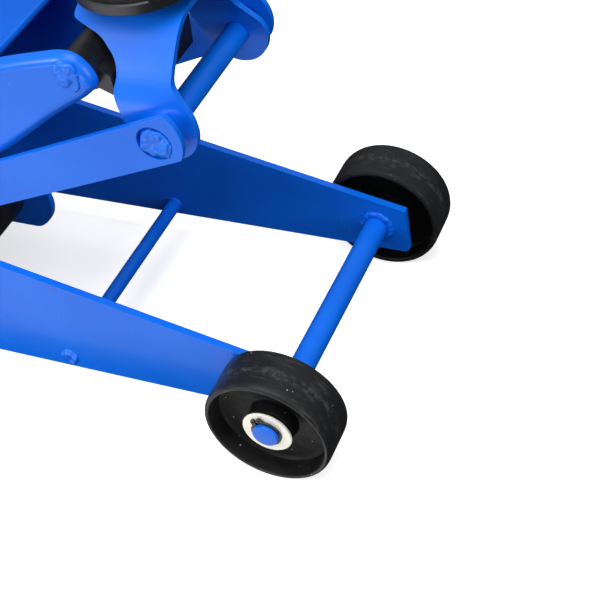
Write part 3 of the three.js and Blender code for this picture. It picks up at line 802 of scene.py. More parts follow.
# ---------------------------------------------------------------- front end
@dataclass
class FrontEnd:
    """Axle across the nose, with a moulded wheel, a washer and a circlip at each end."""

    bench: Bench
    wheel_radius: float = 51.8
    wheel_in: float = 105.8
    wheel_out: float = 145.6
    hub_out: float = 141.0
    hub_bore: float = 10.8
    rod_radius: float = 10.1
    rod_half: float = 147.8
    clip_in: float = 143.3
    clip_thick: float = 1.4
    clip_ring: Point = (8.9, 12.3)

    def wheel(self, side: str, sign: float) -> None:
        """One wheel: flat tread, dished faces with a step, web and long hub."""
        rim = self.wheel_radius
        face = self.wheel_out
        hub = self.hub_out
        profile = [
            (self.hub_bore, 106.5), (16.4, 106.5), (17.4, 107.6), (18.0, 121.0), (43.6, 121.0),
            (45.6, 119.6), (46.6, self.wheel_in + 1.0), (47.4, self.wheel_in), (49.0, self.wheel_in),
            (rim - 0.9, 106.9), (rim - 0.3, 108.8), (rim, 112.0), (rim, 125.2), (rim - 0.1, 125.4),
            (rim, 125.6), (rim, face - 6.5), (rim - 0.35, face - 3.2), (rim - 1.1, face - 1.2),
            (rim - 2.4, face - 0.1), (rim - 3.4, face), (rim - 4.2, face - 0.4), (rim - 4.8, face - 1.6),
            (46.0, 134.0), (45.2, 130.6), (43.6, 129.0), (41.0, 128.2), (22.0, 127.4), (20.4, 128.0),
            (19.6, 129.6), (19.0, hub - 3.4), (18.4, hub - 2.2), (17.0, hub - 1.8), (16.6, hub - 0.8),
            (15.8, hub), (self.hub_bore, hub),
        ]  # fmt: skip
        middle = self.bench.axis_point("front_axle")
        piece = self.bench.turned(
            f"wheel_{side}", [(r, sign * y) for r, y in profile], middle, steps=112
        )
        self.bench.stand_in(piece, f"front_wheel_{side}", smooth=24)
        self.bench.shop.paint(piece, self.bench.shop.tread(middle))

    def axle(self) -> None:
        """The round axle, necked for its circlips."""
        end = self.rod_half
        stub = self.rod_radius + 0.3
        neck = (self.clip_in - 0.2, self.clip_in + self.clip_thick + 0.2)
        half = [
            (self.rod_radius, self.hub_out), (stub, self.hub_out + 0.3), (stub, neck[0]), (8.6, neck[0]),
            (8.6, neck[1]), (stub, neck[1]), (stub, end - 1.3), (stub - 0.4, end - 0.5),
            (stub - 1.3, end), (0.0, end),
        ]  # fmt: skip
        profile = [(r, -y) for r, y in reversed(half)] + half
        middle = self.bench.axis_point("front_axle")
        piece = self.bench.turned("axle_rod", profile, middle, steps=80)
        self.bench.stand_in(piece, "front_axle")

    def washer(self, side: str, sign: float) -> None:
        """Pressed washer with slightly rounded edges."""
        low, high = self.hub_out + 0.3, 143.0
        profile = [
            (self.hub_bore, low), (19.8, low), (20.2, low + 0.4), (20.2, high - 0.6), (19.5, high),
            (self.hub_bore + 0.5, high), (self.hub_bore, high - 0.4),
        ]  # fmt: skip
        middle = self.bench.axis_point("front_axle")
        flat = [(r, sign * y) for r, y in profile]
        piece = self.bench.turned(f"washer_{side}", flat, middle, steps=80)
        self.bench.stand_in(piece, f"axle_washer_{side}")

    def circlip(self, side: str, sign: float) -> None:
        """Open spring ring with two drilled ears."""
        inner, outer = self.clip_ring
        mouth = 16.0
        ear = (2.5, outer + 1.1)
        turn = math.radians(28)
        ring, bore = (arc((0, 0), radius, 90 + mouth, 450 - mouth, 48) for radius in (outer, inner))
        ears = arc((ear[0] + 0.4, ear[1]), 2.5, 150, 20, 8)
        left = [(-x, z) for x, z in reversed(ears)]
        outline = [*ring[2:-2], *reversed(ears), *reversed(bore), *reversed(left)]
        middle = self.bench.axis_point("front_axle")
        faces = sorted((sign * self.clip_in * MM, sign * (self.clip_in + self.clip_thick) * MM))
        piece = self.bench.slab(f"circlip_{side}", placed(outline, middle, turn), *faces)
        for x in (-ear[0] - 0.5, ear[0] + 0.5):
            hole = placed([(x, ear[1])], middle, turn)[0]
            hole.y = sum(faces) / 2
            self.bench.drill(piece, hole, 0.9, 2.0, steps=16)
        self.bench.stand_in(self.bench.ease(piece, 0.2, 1), f"axle_circlip_{side}")

    def build(self) -> None:
        """Makes the whole front end."""
        self.axle()
        for side, sign in SIDES:
            self.wheel(side, sign)
            self.washer(side, sign)
            self.circlip(side, sign)


# ---------------------------------------------------------------- chassis
@dataclass
class Chassis:
    """Side plates, tie rod, rear cross plate, and the welds that hold them."""

    bench: Bench
    plate_out: float = 102.6
    plate_in: float = 96.6
    axle_bead: Point = (12.2, 3.2)
    rod_bead: Point = (5.7, 1.2)
    rod_plug: Point = (7.8, 1.4)

    def plates(self) -> None:
        """The two side plates with sheared, slightly eased edges."""
        for side, _ in SIDES:
            self.bench.refine(f"side_plate_{side}", 0.35, 2)
        self.bench.refine("rear_cross_plate", 0.8, 2)

    def tie_rod(self) -> None:
        """Thin rod welded into both plates."""
        self.bench.stand_in(self.bench.bar("tie_rod", Axis.Y, 0.5), "tie_rod")

    def welds(self) -> None:
        """Beads round the axle and the tie rod inside the plates, and their plugs outside."""
        axle = self.bench.axis_point("front_axle")
        rod = self.bench.axis_point("tie_rod")
        for side, sign in SIDES:
            inside = Vector((0, sign * self.plate_in * MM, 0))
            outside = Vector((0, sign * (self.plate_out + 0.2) * MM, 0))
            welds = (
                self.bench.bead(f"axle_weld_{side}", axle + inside, *self.axle_bead),
                self.bench.bead(f"rod_weld_{side}", rod + inside, *self.rod_bead),
                self.bench.plug(f"rod_plug_{side}", rod + outside, *self.rod_plug, sign),
            )
            for weld in welds:
                self.bench.deliver(weld, "chassis", Slot.BLUE, smooth=WELD_SMOOTH)

    def build(self) -> None:
        """Makes the chassis."""
        self.plates()
        self.tie_rod()
        self.welds()


# ---------------------------------------------------------------- lift arm and links
@dataclass
class LiftArm:
    """Folded lift arm on its cross shaft, with the pin that carries the saddle carrier."""

    bench: Bench
    plate_out: float = 70.5
    plate_in: float = 65.5
    roll: float = 8.5
    flange: float = 4.5
    pin_radius: float = 8.3
    shaft_bore: float = 12.3
    lever: float = 60.0
    weld: Point = (10.5, 4.0)

    def __post_init__(self) -> None:
        """Reads the arm's pins from the frame."""
        self.pivot = self.bench.axis_point("arm_pivot_shaft")
        self.tip = self.bench.axis_point("carrier_pin")
        reach = self.tip - self.pivot
        self.turn = math.atan2(reach.z, reach.x)
        self.length = reach.length / MM

    def outline(self) -> list[Point]:
        """Returns: the side outline, from the pivot along the pins' line."""
        end = self.length
        return rounded(
            [
                (0, 30, 11), (60, 37, 24), (310, 33, 40), (end, 22, 6), (end + 12.5, 16.5, 7),
                (end + 17.8, 3, 6), (end + 16.4, -10.5, 7), (end + 2, -16.5, 8), (end - 38, -23, 20),
                (end - 99, -38.5, 24), (end - 150, -51, 24), (126, -58, 30), (30, -60, 18),
                (-26, -40, 18), (-30, 0, 12), (-21, 21, 10),
            ]
        )  # fmt: skip

    def plate(self, side: str, sign: float) -> None:
        """One cheek: its edge rolled inwards all round, its lever slotted for the crosshead pin."""
        bench = self.bench
        outer = sign * self.plate_out * MM
        piece = self.dish(f"arm_cheek_{side}", sign)
        self.hollow(piece, sign)
        lever = arc((0, -72), 24, 180, 360, 20) + arc((0, -30), 24, 0, 180, 20)
        faces = sorted((outer, sign * self.plate_in * MM))
        tongue = bench.slab("tongue", placed(lever, self.pivot), *faces)
        bench.ease(piece, 0.5, 2, 50)
        bench.combine(piece, bench.ease(tongue, 0.8), "UNION")
        slot = arc((0, -72), 11.5, 180, 360, 16) + arc((0, -self.lever + 0.5), 11.5, 0, 180, 16)
        wide = sorted((outer * 1.1, sign * (self.plate_in - 2 * self.flange) * MM))
        bench.combine(piece, bench.slab("slot", placed(slot, self.pivot), *wide), "DIFFERENCE")
        for place, radius in ((self.pivot, self.shaft_bore), (self.tip, self.pin_radius)):
            hole = place + Vector((0, outer, 0))
            bench.drill(piece, hole, radius, 14)
        bench.stand_in(piece, f"arm_plate_{side}", smooth=40)

    def dish(self, name: str, sign: float, steps: int = 7) -> bpy.types.Object:
        """Cheek with its edge rolled inwards all round.

        Args:
            name: the piece's name.
            sign: the side that it faces along Y.
            steps: stretches in the roll.

        Returns:
            The piece.
        """
        inner = self.plate_in - self.flange
        shape = placed(self.outline(), self.pivot, self.turn)
        piece = self.bench.chain(name, [Vector((p.x, sign * inner * MM, p.z)) for p in shape])
        rim = (0, sign * (self.plate_out - inner - self.roll) * MM, 0)
        bpy.ops.mesh.edge_face_add()
        bpy.ops.mesh.extrude_region_move(TRANSFORM_OT_translate={"value": rim})
        turns = [math.pi / 2 * step / steps for step in range(steps + 1)]
        for start, stop in zip(turns, turns[1:]):
            inwards = self.roll * (math.cos(start) - math.cos(stop)) * MM
            outwards = self.roll * (math.sin(stop) - math.sin(start)) * MM
            bpy.ops.mesh.inset(thickness=inwards, depth=0)
            bpy.ops.transform.translate(value=(0, sign * outwards, 0))
        return self.bench.close(piece)

    def hollow(self, piece: bpy.types.Object, sign: float) -> None:
        """Sinks the inner side, which leaves a cheek and a narrow flange."""
        inner = sign * (self.plate_in - self.flange) * MM
        self.bench.only(piece)
        bpy.ops.object.mode_set(mode="EDIT")
        bpy.ops.mesh.select_mode(type="FACE")
        bpy.ops.mesh.select_all(action="DESELECT")
        bpy.ops.object.mode_set(mode="OBJECT")
        for face in piece.data.polygons:
            face.select = abs(face.center.y - inner) < 1e-5
        bpy.ops.object.mode_set(mode="EDIT")
        bpy.ops.mesh.inset(thickness=4.2 * MM, depth=0)
        bpy.ops.mesh.extrude_region_move(TRANSFORM_OT_translate={"value": (0, sign * self.flange * MM, 0)})
        bpy.ops.mesh.select_mode(type="VERT")
        self.bench.close(piece)

    def pins(self) -> None:
        """Tip pin with its welded heads, pivot tube, spacers, shaft and nuts."""
        bench = self.bench
        bench.stand_in(bench.bar("carrier_pin", Axis.Y, 0.6), "carrier_pin")
        for side, sign in SIDES:
            foot = self.tip + Vector((-1.5, sign * (self.plate_out - 1.2), 6.4)) * MM
            head = bench.plug(f"tip_weld_{side}", foot, *self.weld, sign)
            bench.deliver(head, "lift_arm", Slot.BLUE, smooth=WELD_SMOOTH)
            bench.stand_in(self.spacer(side), f"arm_spacer_{side}")
            nut = bench.ease(bench.copy_of(f"arm_pivot_nut_{side}"), 0.9, 3, 50)
            bench.stand_in(nut, f"arm_pivot_nut_{side}")
        bench.refine("arm_web", 1.6, 3)
        tube = bench.bar("arm_pivot_tube", Axis.Y, 0.8, 56)
        bench.stand_in(bench.drill(tube, self.pivot, self.shaft_bore, 80), "arm_pivot_tube")
        bench.stand_in(bench.bar("arm_pivot_shaft", Axis.Y, 1.6, 56), "arm_pivot_shaft")

    def spacer(self, side: str) -> bpy.types.Object:
        """Returns: the ring between an arm cheek and a side plate."""
        ring = self.bench.bar(f"arm_spacer_{side}", Axis.Y, 0.6, 56)
        middle = self.bench.middle(f"arm_spacer_{side}")
        return self.bench.drill(ring, middle, self.shaft_bore, 30)

    def build(self) -> None:
        """Makes the arm."""
        for side, sign in SIDES:
            self.plate(side, sign)
        self.pins()


@dataclass
class Links:
    """Parallel bars beside the arm, plug welded to the cross shaft that carries the saddle carrier."""

    bench: Bench
    inner: float = 75.0
    outer: float = 80.0
    width: float = 37.0
    nose: float = 29.0
    groove: float = 13.8

    def __post_init__(self) -> None:
        """Reads the links' pins from the frame."""
        self.pivot = self.bench.axis_point("link_pivot_pin_right")
        self.shaft = self.bench.axis_point("link_cross_shaft")
        reach = self.shaft - self.pivot
        self.turn = math.atan2(reach.z, reach.x)
        self.length = reach.length / MM

    def outline(self) -> list[Point]:
        """Returns: a bar's outline: round heel, nose struck from just off the pin."""
        half = self.width / 2
        middle = (self.length - 5.0, 5.0)
        low = math.degrees(math.asin((-half - middle[1]) / self.nose))
        high = math.degrees(math.asin((half - middle[1]) / self.nose))
        return arc(middle, self.nose, low, high, 18) + arc((0, 0), half, 90, 270, 24)

    def bar(self, side: str, sign: float) -> None:
        """One bar with its weld."""
        bench = self.bench
        faces = sorted((sign * self.inner * MM, sign * self.outer * MM))
        piece = bench.slab(f"link_{side}", placed(self.outline(), self.pivot, self.turn), *faces)
        middle = sum(faces) / 2
        bench.drill(piece, self.pivot + Vector((0, middle, 0)), 8.3, 12)
        bench.drill(piece, self.shaft + Vector((0, middle, 0)), self.groove, 12)
        bench.stand_in(bench.ease(piece, 0.6, 2), f"link_bar_{side}")
        foot = self.shaft + Vector((0.9, sign * (self.outer - 0.9), -1.1)) * MM
        plug = bench.plug(f"link_plug_{side}", foot, self.groove - 1.7, 2.2, sign)
        bench.deliver(plug, "parallel_link", Slot.BLUE, smooth=WELD_SMOOTH)

    def build(self) -> None:
        """Makes both bars, the cross shaft and the rear pivots."""
        for side, sign in SIDES:
            self.bar(side, sign)
            self.rear_pin(side, sign)
        self.bench.stand_in(self.bench.bar("link_cross_shaft", Axis.Y, 0.6, 64), "link_cross_shaft")

    def rear_pin(self, side: str, sign: float) -> None:
        """Shouldered rivet that holds a bar's heel to its side plate."""
        profile = [
            (0, 71.2), (11.0, 71.2), (12, 72.2), (12, 73.7), (8, 73.7), (8, 80.3), (13, 80.3),
            (13, 96.3), (8, 96.3), (8, 102.9), (13, 102.9), (13.4, 103.8), (13, 106.2), (11, 108.6),
            (7, 109.5), (0, 109.6),
        ]  # fmt: skip
        piece = self.bench.turned(
            f"link_rivet_{side}", [(r, sign * y) for r, y in profile], self.pivot, steps=56
        )
        self.bench.stand_in(piece, f"link_pivot_pin_{side}")


# ---------------------------------------------------------------- saddle carrier
@dataclass
class Carrier:
    """Pressed carrier hung on the cross shaft, its cast knuckle, and the saddle on top."""

    bench: Bench
    half: float = 64.0
    sheet: float = 5.0
    bend: float = 22.0
    top: float = 71.0
    top_half: float = 25.7
    ear: float = 25.5
    saddle_x: float = -32.0
    saddle_radius: float = 48.0

    def __post_init__(self) -> None:
        """Reads the cross shaft's place from the frame."""
        self.shaft = self.bench.axis_point("link_cross_shaft")

    def section(self) -> list[Point]:
        """Returns: the pressing's outer line from ear to ear, as y and z."""
        right = [
            (self.half, -self.ear - 6, 0), (self.half, self.bend, 27),
            (self.top_half, self.top, 18),
        ]  # fmt: skip
        left = [(-y, z, reach) for y, z, reach in reversed(right)]
        return rounded(right + left, 14)

    def outline(self) -> list[Point]:
        """Returns: the side outline: round ear, drawn-in neck, flared top."""
        ear = arc((0, 0), self.ear, -140, 48, 30)
        rest = rounded(
            [
                (13.5, 23.5, 0), (8.0, 31, 4), (8.5, 48, 8), (11, self.top + 4, 0),
                (-74, self.top + 4, 0), (-74, self.top - 8, 3), (-50, 55, 6), (-36.5, 43, 5),
                (-34.5, 34, 4), (-38, 23, 4), (-36, 14, 3), (-32.5, 5, 3), (-29, -6, 0),
            ]
        )  # fmt: skip
        return ear + rest

    def pressing(self) -> None:
        """The smooth pressed shell."""
        bench = self.bench
        line = [self.shaft + Vector((-90, y, z)) * MM for y, z in self.section()]
        piece = bench.chain("carrier_pressing", line)
        bpy.ops.mesh.extrude_region_move(TRANSFORM_OT_translate={"value": (120 * MM, 0, 0)})
        bench.close(piece)
        offset = self.inward(piece)
        bench.modify(
            piece, "SOLIDIFY", thickness=self.sheet * MM, offset=offset, use_even_offset=True
        )
        wide = (self.half + 10) * MM
        blank = bench.slab("blank", placed(self.outline(), self.shaft), -wide, wide)
        bench.combine(piece, blank, "INTERSECT")
        bench.drill(piece, self.shaft, 9.8, 90)
        stem = self.shaft + Vector((self.saddle_x, 0, self.top)) * MM
        bench.drill(piece, stem, 12.4, 12, Axis.Z)
        bench.ease(piece, 0.45, 2, 50)
        bench.stand_in(piece, "saddle_carrier", smooth=38)

    def inward(self, piece: bpy.types.Object) -> float:
        """Returns: the Solidify offset that puts the sheet inside the pressing's outer line."""
        top = max(piece.data.polygons, key=lambda face: face.center.z)
        return -1.0 if top.normal.z > 0 else 1.0

    def knuckle(self) -> None:
        """Cast block that takes the arm's pin."""
        self.bench.refine("carrier_knuckle", 2.0, 3)

    def cup(self) -> None:
        """Cast saddle cup with four lugs on its rim."""
        seat = self.top + 0.3
        rim = self.saddle_radius
        profile = [
            (0, 44), (11.2, 44), (12, 44.8), (12, seat), (25, seat), (27, seat + 0.6), (40, seat + 6),
            (rim - 1, seat + 7), (rim, seat + 8.2), (rim, seat + 15), (rim - 1, seat + 16),
            (rim - 3.2, seat + 16), (rim - 4, seat + 15), (rim - 4, seat + 11), (0, seat + 11),
        ]  # fmt: skip
        place = self.shaft + Vector((self.saddle_x, 0, 0)) * MM
        piece = self.bench.turned("saddle_dish", profile, place, Axis.Z.value, 96)
        for quarter in range(4):
            piece = self.lug(piece, place, seat, math.pi / 4 + quarter * math.pi / 2)
        self.bench.stand_in(piece, "saddle_cup")

    def lug(self, piece: bpy.types.Object, place: Vector, seat: float, turn: float) -> bpy.types.Object:
        """Joins one raised lug to the rim. Returns: the piece."""
        bpy.ops.object.select_all(action="DESELECT")
        reach = self.saddle_radius - 2.2
        spot = place + Vector((reach * math.cos(turn), reach * math.sin(turn), seat + 16.5)) * MM
        bpy.ops.mesh.primitive_cube_add(size=MM, location=spot, rotation=(0, 0, turn))
        lug = bpy.context.object
        lug.scale = (4.2, 15, 9)
        bpy.ops.object.transform_apply(location=True, rotation=True, scale=True)
        self.bench.ease(lug, 1.0, 2)
        return self.bench.combine(piece, lug, "UNION")

    def pad(self) -> None:
        """Rubber pad with a cross of grooves and two ring grooves."""
        bench = self.bench
        seat = self.top + 11.6
        rim = self.saddle_radius - 4.8
        crown = seat + 10.7
        profile = [(0, seat), (rim, seat), (rim, crown - 2), (rim - 0.8, crown - 0.6), (rim - 2.2, crown)]
        for ring in (31.0, 18.0):
            profile += [(ring + 1.6, crown), (ring + 1.1, crown - 2)]
            profile += [(ring - 1.1, crown - 2), (ring - 1.6, crown)]
        profile.append((0, crown))
        place = self.shaft + Vector((self.saddle_x, 0, 0)) * MM
        piece = bench.turned("saddle_rubber", profile, place, Axis.Z.value, 80)
        for size in ((120, 3.4, 5), (3.4, 120, 5)):
            bpy.ops.object.select_all(action="DESELECT")
            bpy.ops.mesh.primitive_cube_add(size=MM, location=place + Vector((0, 0, crown)) * MM)
            groove = bpy.context.object
            groove.scale = size
            bpy.ops.object.transform_apply(location=True, rotation=True, scale=True)
            bench.combine(piece, groove, "DIFFERENCE")
        bench.stand_in(piece, "saddle_pad")

    def build(self) -> None:
        """Makes the carrier and the saddle."""
        self.pressing()
        self.knuckle()
        self.cup()
        self.pad()


# ---------------------------------------------------------------- hydraulic unit
@dataclass
class PowerUnit:
    """Tank, cylinder, ram, crosshead, springs, pump block and the brackets that hold them."""

    bench: Bench
    coil_radius: float = 6.6
    wire: float = 1.35
    coils: int = 34
    coil_steps: int = 14

    def casting(self) -> None:
        """Tank, pump block, crosshead and brackets with moulded edges."""
        for node, width in (("oil_tank", 3.0), ("pump_block", 2.5), ("crosshead", 1.2)):
            self.bench.refine(node, width, 3)
        for side, _ in SIDES:
            self.bench.refine(f"unit_bracket_{side}", 0.8, 2)

    def hydraulics(self) -> None:
        """Cylinder, ram, pins and the pump plunger."""
        bench = self.bench
        low, high = (Vector(corner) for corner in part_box("cylinder_tube"))
        tube = bench.bar("cylinder_tube", Axis.X, 1.6, 80)
        mouth = Vector((high.x, 0, (low.z + high.z) / 2))
        bench.stand_in(bench.drill(tube, mouth, 15.4, 95, Axis.X), "cylinder_tube")
        for node, axis, chamfer in (
            ("ram_rod", Axis.X, 1.0), ("crosshead_pin", Axis.Y, 1.2), ("pump_plunger", Axis.Z, 0.8),
            ("release_stem", Axis.X, 0.5), ("socket_pivot_shaft", Axis.Y, 1.2),
        ):  # fmt: skip
            bench.stand_in(bench.bar(node, axis, chamfer, 56), node)
        bench.refine("release_knob", 1.2, 3, 60)

    def spring(self, side: str) -> None:
        """Coil spring from the pump block to the crosshead's ear."""
        node = f"return_spring_{side}"
        low, high = (Vector(corner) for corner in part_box(node))
        middle = (low + high) / 2
        bpy.ops.object.select_all(action="DESELECT")
        start = Vector((low.x + self.wire * MM, middle.y, middle.z))
        bpy.ops.mesh.primitive_circle_add(vertices=8, radius=self.wire * MM, location=start)
        piece = bpy.context.object
        piece.name = f"coil_spring_{side}"
        bpy.ops.object.mode_set(mode="EDIT")
        bpy.ops.mesh.select_all(action="SELECT")
        bpy.ops.transform.translate(value=(0, self.coil_radius * MM, 0))
        bpy.ops.object.mode_set(mode="OBJECT")
        self.bench.modify(
            piece,
            "SCREW",
            axis="X",
            angle=math.tau * self.coils,
            screw_offset=high.x - low.x - 2 * self.wire * MM,
            steps=self.coil_steps * self.coils,
            render_steps=self.coil_steps * self.coils,
            use_merge_vertices=False,
        )
        bpy.ops.object.transform_apply(location=True, rotation=True, scale=True)
        bpy.ops.object.mode_set(mode="EDIT")
        bpy.ops.mesh.select_all(action="DESELECT")
        bpy.ops.mesh.select_non_manifold()
        bpy.ops.mesh.edge_face_add()
        self.bench.close(piece)
        self.bench.only(piece)
        bpy.ops.object.shade_smooth_by_angle(angle=math.radians(60))
        self.bench.shop.dress(piece, Slot.SPRING)
        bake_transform(piece)
        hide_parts(node)
        LOG.info("%s: %d faces, from chassis to ram", piece.name, len(piece.data.polygons))

    def bolts(self) -> None:
        """Long bolts with hexagon heads."""
        for count in (1, 2):
            node = f"unit_bolt_{count}"
            place = self.bench.axis_point(node)
            rod = self.bench.turned(f"bolt_{count}", [(0, -104), (5, -104), (5, 104), (0, 104)], place)
            for sign in (-1, 1):
                profile = [
                    (0, sign * 102.9), (9, sign * 102.9), (9, sign * 108.6),
                    (8, sign * 109.6), (0, sign * 109.6),
                ]  # fmt: skip
                head = self.bench.turned("head", profile, place, steps=6)
                self.bench.combine(rod, self.bench.ease(head, 0.4, 2), "UNION")
            self.bench.stand_in(rod, node)

    def build(self) -> None:
        """Makes the unit."""
        self.casting()
        self.hydraulics()
        self.bolts()
        for side, _ in SIDES:
            self.spring(side)


# ---------------------------------------------------------------- handle
@dataclass
class Handle:
    """Two-piece pumping handle in its welded socket, with a clamp screw and a ribbed grip."""

    bench: Bench
    rise: float = math.radians(50)
    tube_radius: float = 16.0
    wall: float = 2.5
    join: float = 380.0
    end: float = 700.0
    grip_length: float = 134.0
    grip_cover: float = 140.0
    ribs: int = 15

    def __post_init__(self) -> None:
        """Reads the pivot from the frame."""
        self.pivot = self.bench.axis_point("socket_pivot_shaft")
        self.along = (-math.cos(self.rise), 0.0, math.sin(self.rise))

    def tubes(self) -> None:
        """Lower and upper tube with rolled ends."""
        outer, inner = self.tube_radius, self.tube_radius - self.wall
        lower = [
            (inner, 32), (outer, 32), (outer, self.join - 0.8), (outer - 0.7, self.join),
            (inner, self.join),
        ]  # fmt: skip
        spigot = inner - 0.3
        upper = [
            (0, self.join - 60), (spigot - 1, self.join - 60), (spigot, self.join - 59),
            (spigot, self.join + 0.3), (outer - 0.7, self.join + 0.3), (outer, self.join + 1),
            (outer, self.end), (inner, self.end), (inner, self.join + 6), (0, self.join + 6),
        ]  # fmt: skip
        for name, profile in (("lower", lower), ("upper", upper)):
            tube = self.bench.turned(f"tube_{name}", profile, self.pivot, self.along, 64)
            self.bench.stand_in(tube, f"handle_tube_{name}")

    def grip(self) -> None:
        """Rubber grip with rounded ribs and a domed end."""
        foot = self.end - self.grip_cover
        profile = [(0, self.end + 0.3), (self.tube_radius + 0.3, self.end + 0.3)]
        profile += [(self.tube_radius + 0.3, foot), (18.6, foot), (20, foot + 2), (20, foot + 9)]
        pitch = self.grip_length / (self.ribs + 2)
        for rib in range(self.ribs):
            at = foot + 10 + rib * pitch
            profile += [(19.0, at + 0.6), (18.4, at + 0.28 * pitch), (19.3, at + 0.45 * pitch)]
            profile += [(20, at + 0.6 * pitch), (20, at + 0.9 * pitch)]
        profile += [(20, self.end), (18.4, self.end + 2.8), (14, self.end + 4), (0, self.end + 4)]
        grip = self.bench.turned("grip", profile, self.pivot, self.along, 64)
        self.bench.stand_in(grip, "handle_grip", smooth=50)

    def socket(self) -> None:
        """Socket and the clamp screw."""
        self.bench.refine("handle_socket", 1.0, 2, 40)
        self.bench.refine("clamp_screw", 0.9, 3, 40)

    def build(self) -> None:
        """Makes the handle."""
        self.socket()
        self.tubes()
        self.grip()


# ---------------------------------------------------------------- casters
@dataclass
class Casters:
    """Two swivel casters under the rear cross plate."""

    bench: Bench
    radius: float = 28.0
    half: float = 11.0

    def wheel(self, side: str) -> None:
        """Moulded wheel with a rounded tread and a dished face."""
        rim = self.radius
        face = [
            (4.3, -self.half), (11, -self.half), (12, -self.half + 1), (12.6, -self.half + 3.2),
            (rim - 6.6, -self.half + 3.4), (rim - 5.6, -self.half + 1), (rim - 4.6, -self.half + 0.5),
            (rim - 2.2, -self.half + 0.7), (rim - 0.7, -self.half + 2), (rim, -self.half + 4.4),
        ]  # fmt: skip
        profile = face + [(r, -y) for r, y in reversed(face)]
        middle = self.bench.middle(f"caster_wheel_{side}")
        wheel = self.bench.turned(f"tyre_{side}", profile, middle, steps=72)
        self.bench.stand_in(wheel, f"caster_wheel_{side}", smooth=26)

    def axle(self, side: str) -> None:
        """Rivet through fork and wheel."""
        half = [(4, 15.3), (6.5, 15.3), (6.5, 16.6), (5.2, 18.1), (0, 18.5)]
        profile = [(r, -y) for r, y in reversed(half)] + half
        middle = self.bench.middle(f"caster_axle_{side}")
        rivet = self.bench.turned(f"caster_rivet_{side}", profile, middle, steps=40)
        self.bench.stand_in(rivet, f"caster_axle_{side}")

    def build(self) -> None:
        """Makes both casters."""
        for side, _ in SIDES:
            self.bench.refine(f"caster_plate_{side}", 0.7, 2)
            self.bench.refine(f"caster_fork_{side}", 0.6, 2)
            self.wheel(side)
            self.axle(side)


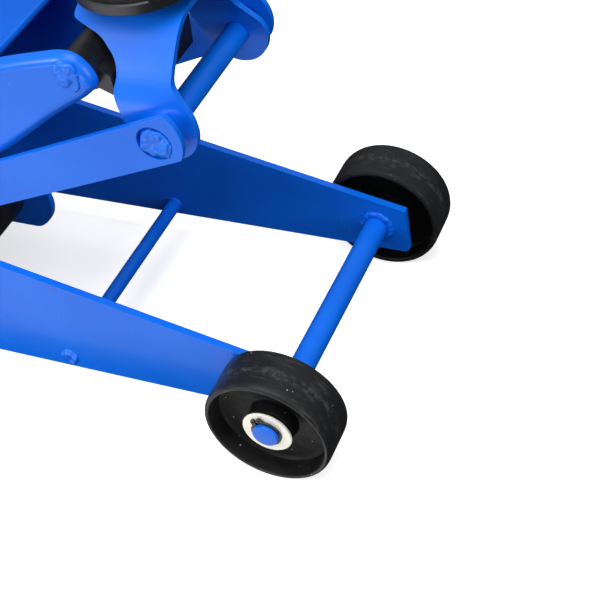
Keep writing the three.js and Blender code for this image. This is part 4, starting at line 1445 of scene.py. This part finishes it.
# ---------------------------------------------------------------- studio
@dataclass
class Studio:
    """Pale floor, soft lights, and the camera."""

    eye: tuple[float, float, float]
    forward: tuple[float, float, float] = (-0.36877, 0.62435, -0.68862)
    right: tuple[float, float, float] = (0.91339, 0.38080, -0.14388)
    lens: float = 79.25
    sensor: float = 36.0
    horizon: Point = (-0.05, 0.45)
    floor_half: float = 9.0
    under: float = 0.03
    over: float = 0.36

    def camera(self) -> None:
        """Places the camera at the viewing angle and makes it the scene's."""
        data = bpy.data.cameras.new("studio_camera")
        data.lens = self.lens
        data.sensor_width = self.sensor
        data.clip_start = 0.05
        data.clip_end = 60.0
        camera = bpy.data.objects.new("studio_camera", data)
        bpy.context.scene.collection.objects.link(camera)
        right = Vector(self.right).normalized()
        back = -Vector(self.forward).normalized()
        up = back.cross(right).normalized()
        right = up.cross(back)
        turn = Matrix((right, up, back)).transposed()
        camera.matrix_world = Matrix.Translation(self.eye) @ turn.to_4x4()
        bpy.context.scene.camera = camera

    def floor(self) -> None:
        """Lays a plain pale floor under the wheels."""
        bpy.ops.mesh.primitive_plane_add(size=2 * self.floor_half, location=(0, 0, 0))
        floor = bpy.context.object
        floor.name = "floor"
        tree = Tree("pale_floor")
        pale = {"Base_Color": (0.9, 0.9, 0.9), "Roughness": 0.8}
        glow = {"Emission_Color": (1.0, 1.0, 1.0), "Emission_Strength": 0.6}
        floor.data.materials.append(tree.finish(**pale, **glow))
        floor.visible_diffuse = floor.visible_glossy = False
        floor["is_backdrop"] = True

    def card(self) -> None:
        """Lays a white card beside the jack that only its gloss sees."""
        low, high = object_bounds()
        bpy.ops.object.select_all(action="DESELECT")
        bpy.ops.mesh.primitive_plane_add(size=1.0, location=(0.0, low[1] - 0.25, 0.001))
        card = bpy.context.object
        card.name = "card"
        card.scale = (high[0] - low[0], 0.5, 1.0)
        bpy.ops.object.transform_apply(location=True, rotation=True, scale=True)
        tree = Tree("white_card")
        card.data.materials.append(
            tree.finish(Base_Color=(0, 0, 0), Emission_Color=(1.0, 1.0, 1.0), Emission_Strength=1.3)
        )
        card.visible_camera = card.visible_diffuse = card.visible_shadow = False
        card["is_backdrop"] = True

    def lamp(self, name: str, place: Sequence[float], size: Point, power: float) -> None:
        """Adds a soft lamp aimed at the jack. Args: name, place, width and height, watts."""
        data = bpy.data.lights.new(name, "AREA")
        data.shape = "RECTANGLE"
        data.size, data.size_y = size
        data.energy = power
        lamp = bpy.data.objects.new(name, data)
        bpy.context.scene.collection.objects.link(lamp)
        lamp.location = place
        lamp.visible_camera = False
        aim = Vector((0.35, 0.0, 0.15)) - Vector(place)
        lamp.rotation_mode = "QUATERNION"
        lamp.rotation_quaternion = aim.to_track_quat("-Z", "Y")

    def light(self) -> None:
        """Soft surroundings, a wide top lamp, a small key, a side lamp and a low fill."""
        self.air()
        self.lamp("top", (0.45, -0.5, 2.4), (2.0, 2.0), 46)
        self.lamp("key", (-0.35, -0.80, 0.75), (0.32, 0.32), 5.5)
        self.lamp("side", (2.4, -0.8, 0.9), (1.2, 1.2), 20)
        self.lamp("low", (0.20, -0.85, 0.09), (0.9, 0.16), 2.6)
        bpy.context.scene.view_settings.view_transform = "Standard"

    def air(self) -> None:
        """White surroundings, bright above the horizon and dim under it."""
        world = bpy.data.worlds.new("studio_air")
        world.use_nodes = True
        nodes, links = world.node_tree.nodes, world.node_tree.links
        way = nodes.new("ShaderNodeTexCoord")
        parts = nodes.new("ShaderNodeSeparateXYZ")
        strength = nodes.new("ShaderNodeMapRange")
        links.new(way.outputs["Generated"], parts.inputs["Vector"])
        links.new(parts.outputs["Z"], strength.inputs["Value"])
        ends = (*self.horizon, self.under, self.over)
        for name, value in zip(("From Min", "From Max", "To Min", "To Max"), ends):
            strength.inputs[name].default_value = value
        links.new(strength.outputs["Result"], nodes["Background"].inputs["Strength"])
        nodes["Background"].inputs["Color"].default_value = (1, 1, 1, 1)
        bpy.context.scene.world = world


def main() -> None:
    """Builds the studio and the jack's pieces in order."""
    logging.basicConfig(level=logging.INFO, format="%(message)s")
    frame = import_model()
    bpy.ops.object.select_all(action="DESELECT")
    bench = Bench(frame, Paintshop())
    for node, thing in frame["nodes"].items():
        bench.shop.dress(thing, bench.slots[node])
    axle = bench.axis_point("front_axle")
    studio = Studio(eye=(axle.x + 0.37043, -0.68355, axle.z + 0.74832))
    studio.camera()
    studio.floor()
    studio.card()
    studio.light()
    for assembly in (FrontEnd, Chassis, LiftArm, Links, Carrier, PowerUnit, Handle, Casters):
        LOG.info("%s", assembly.__name__)
        assembly(bench).build()


if __name__ == "__main__":
    main()
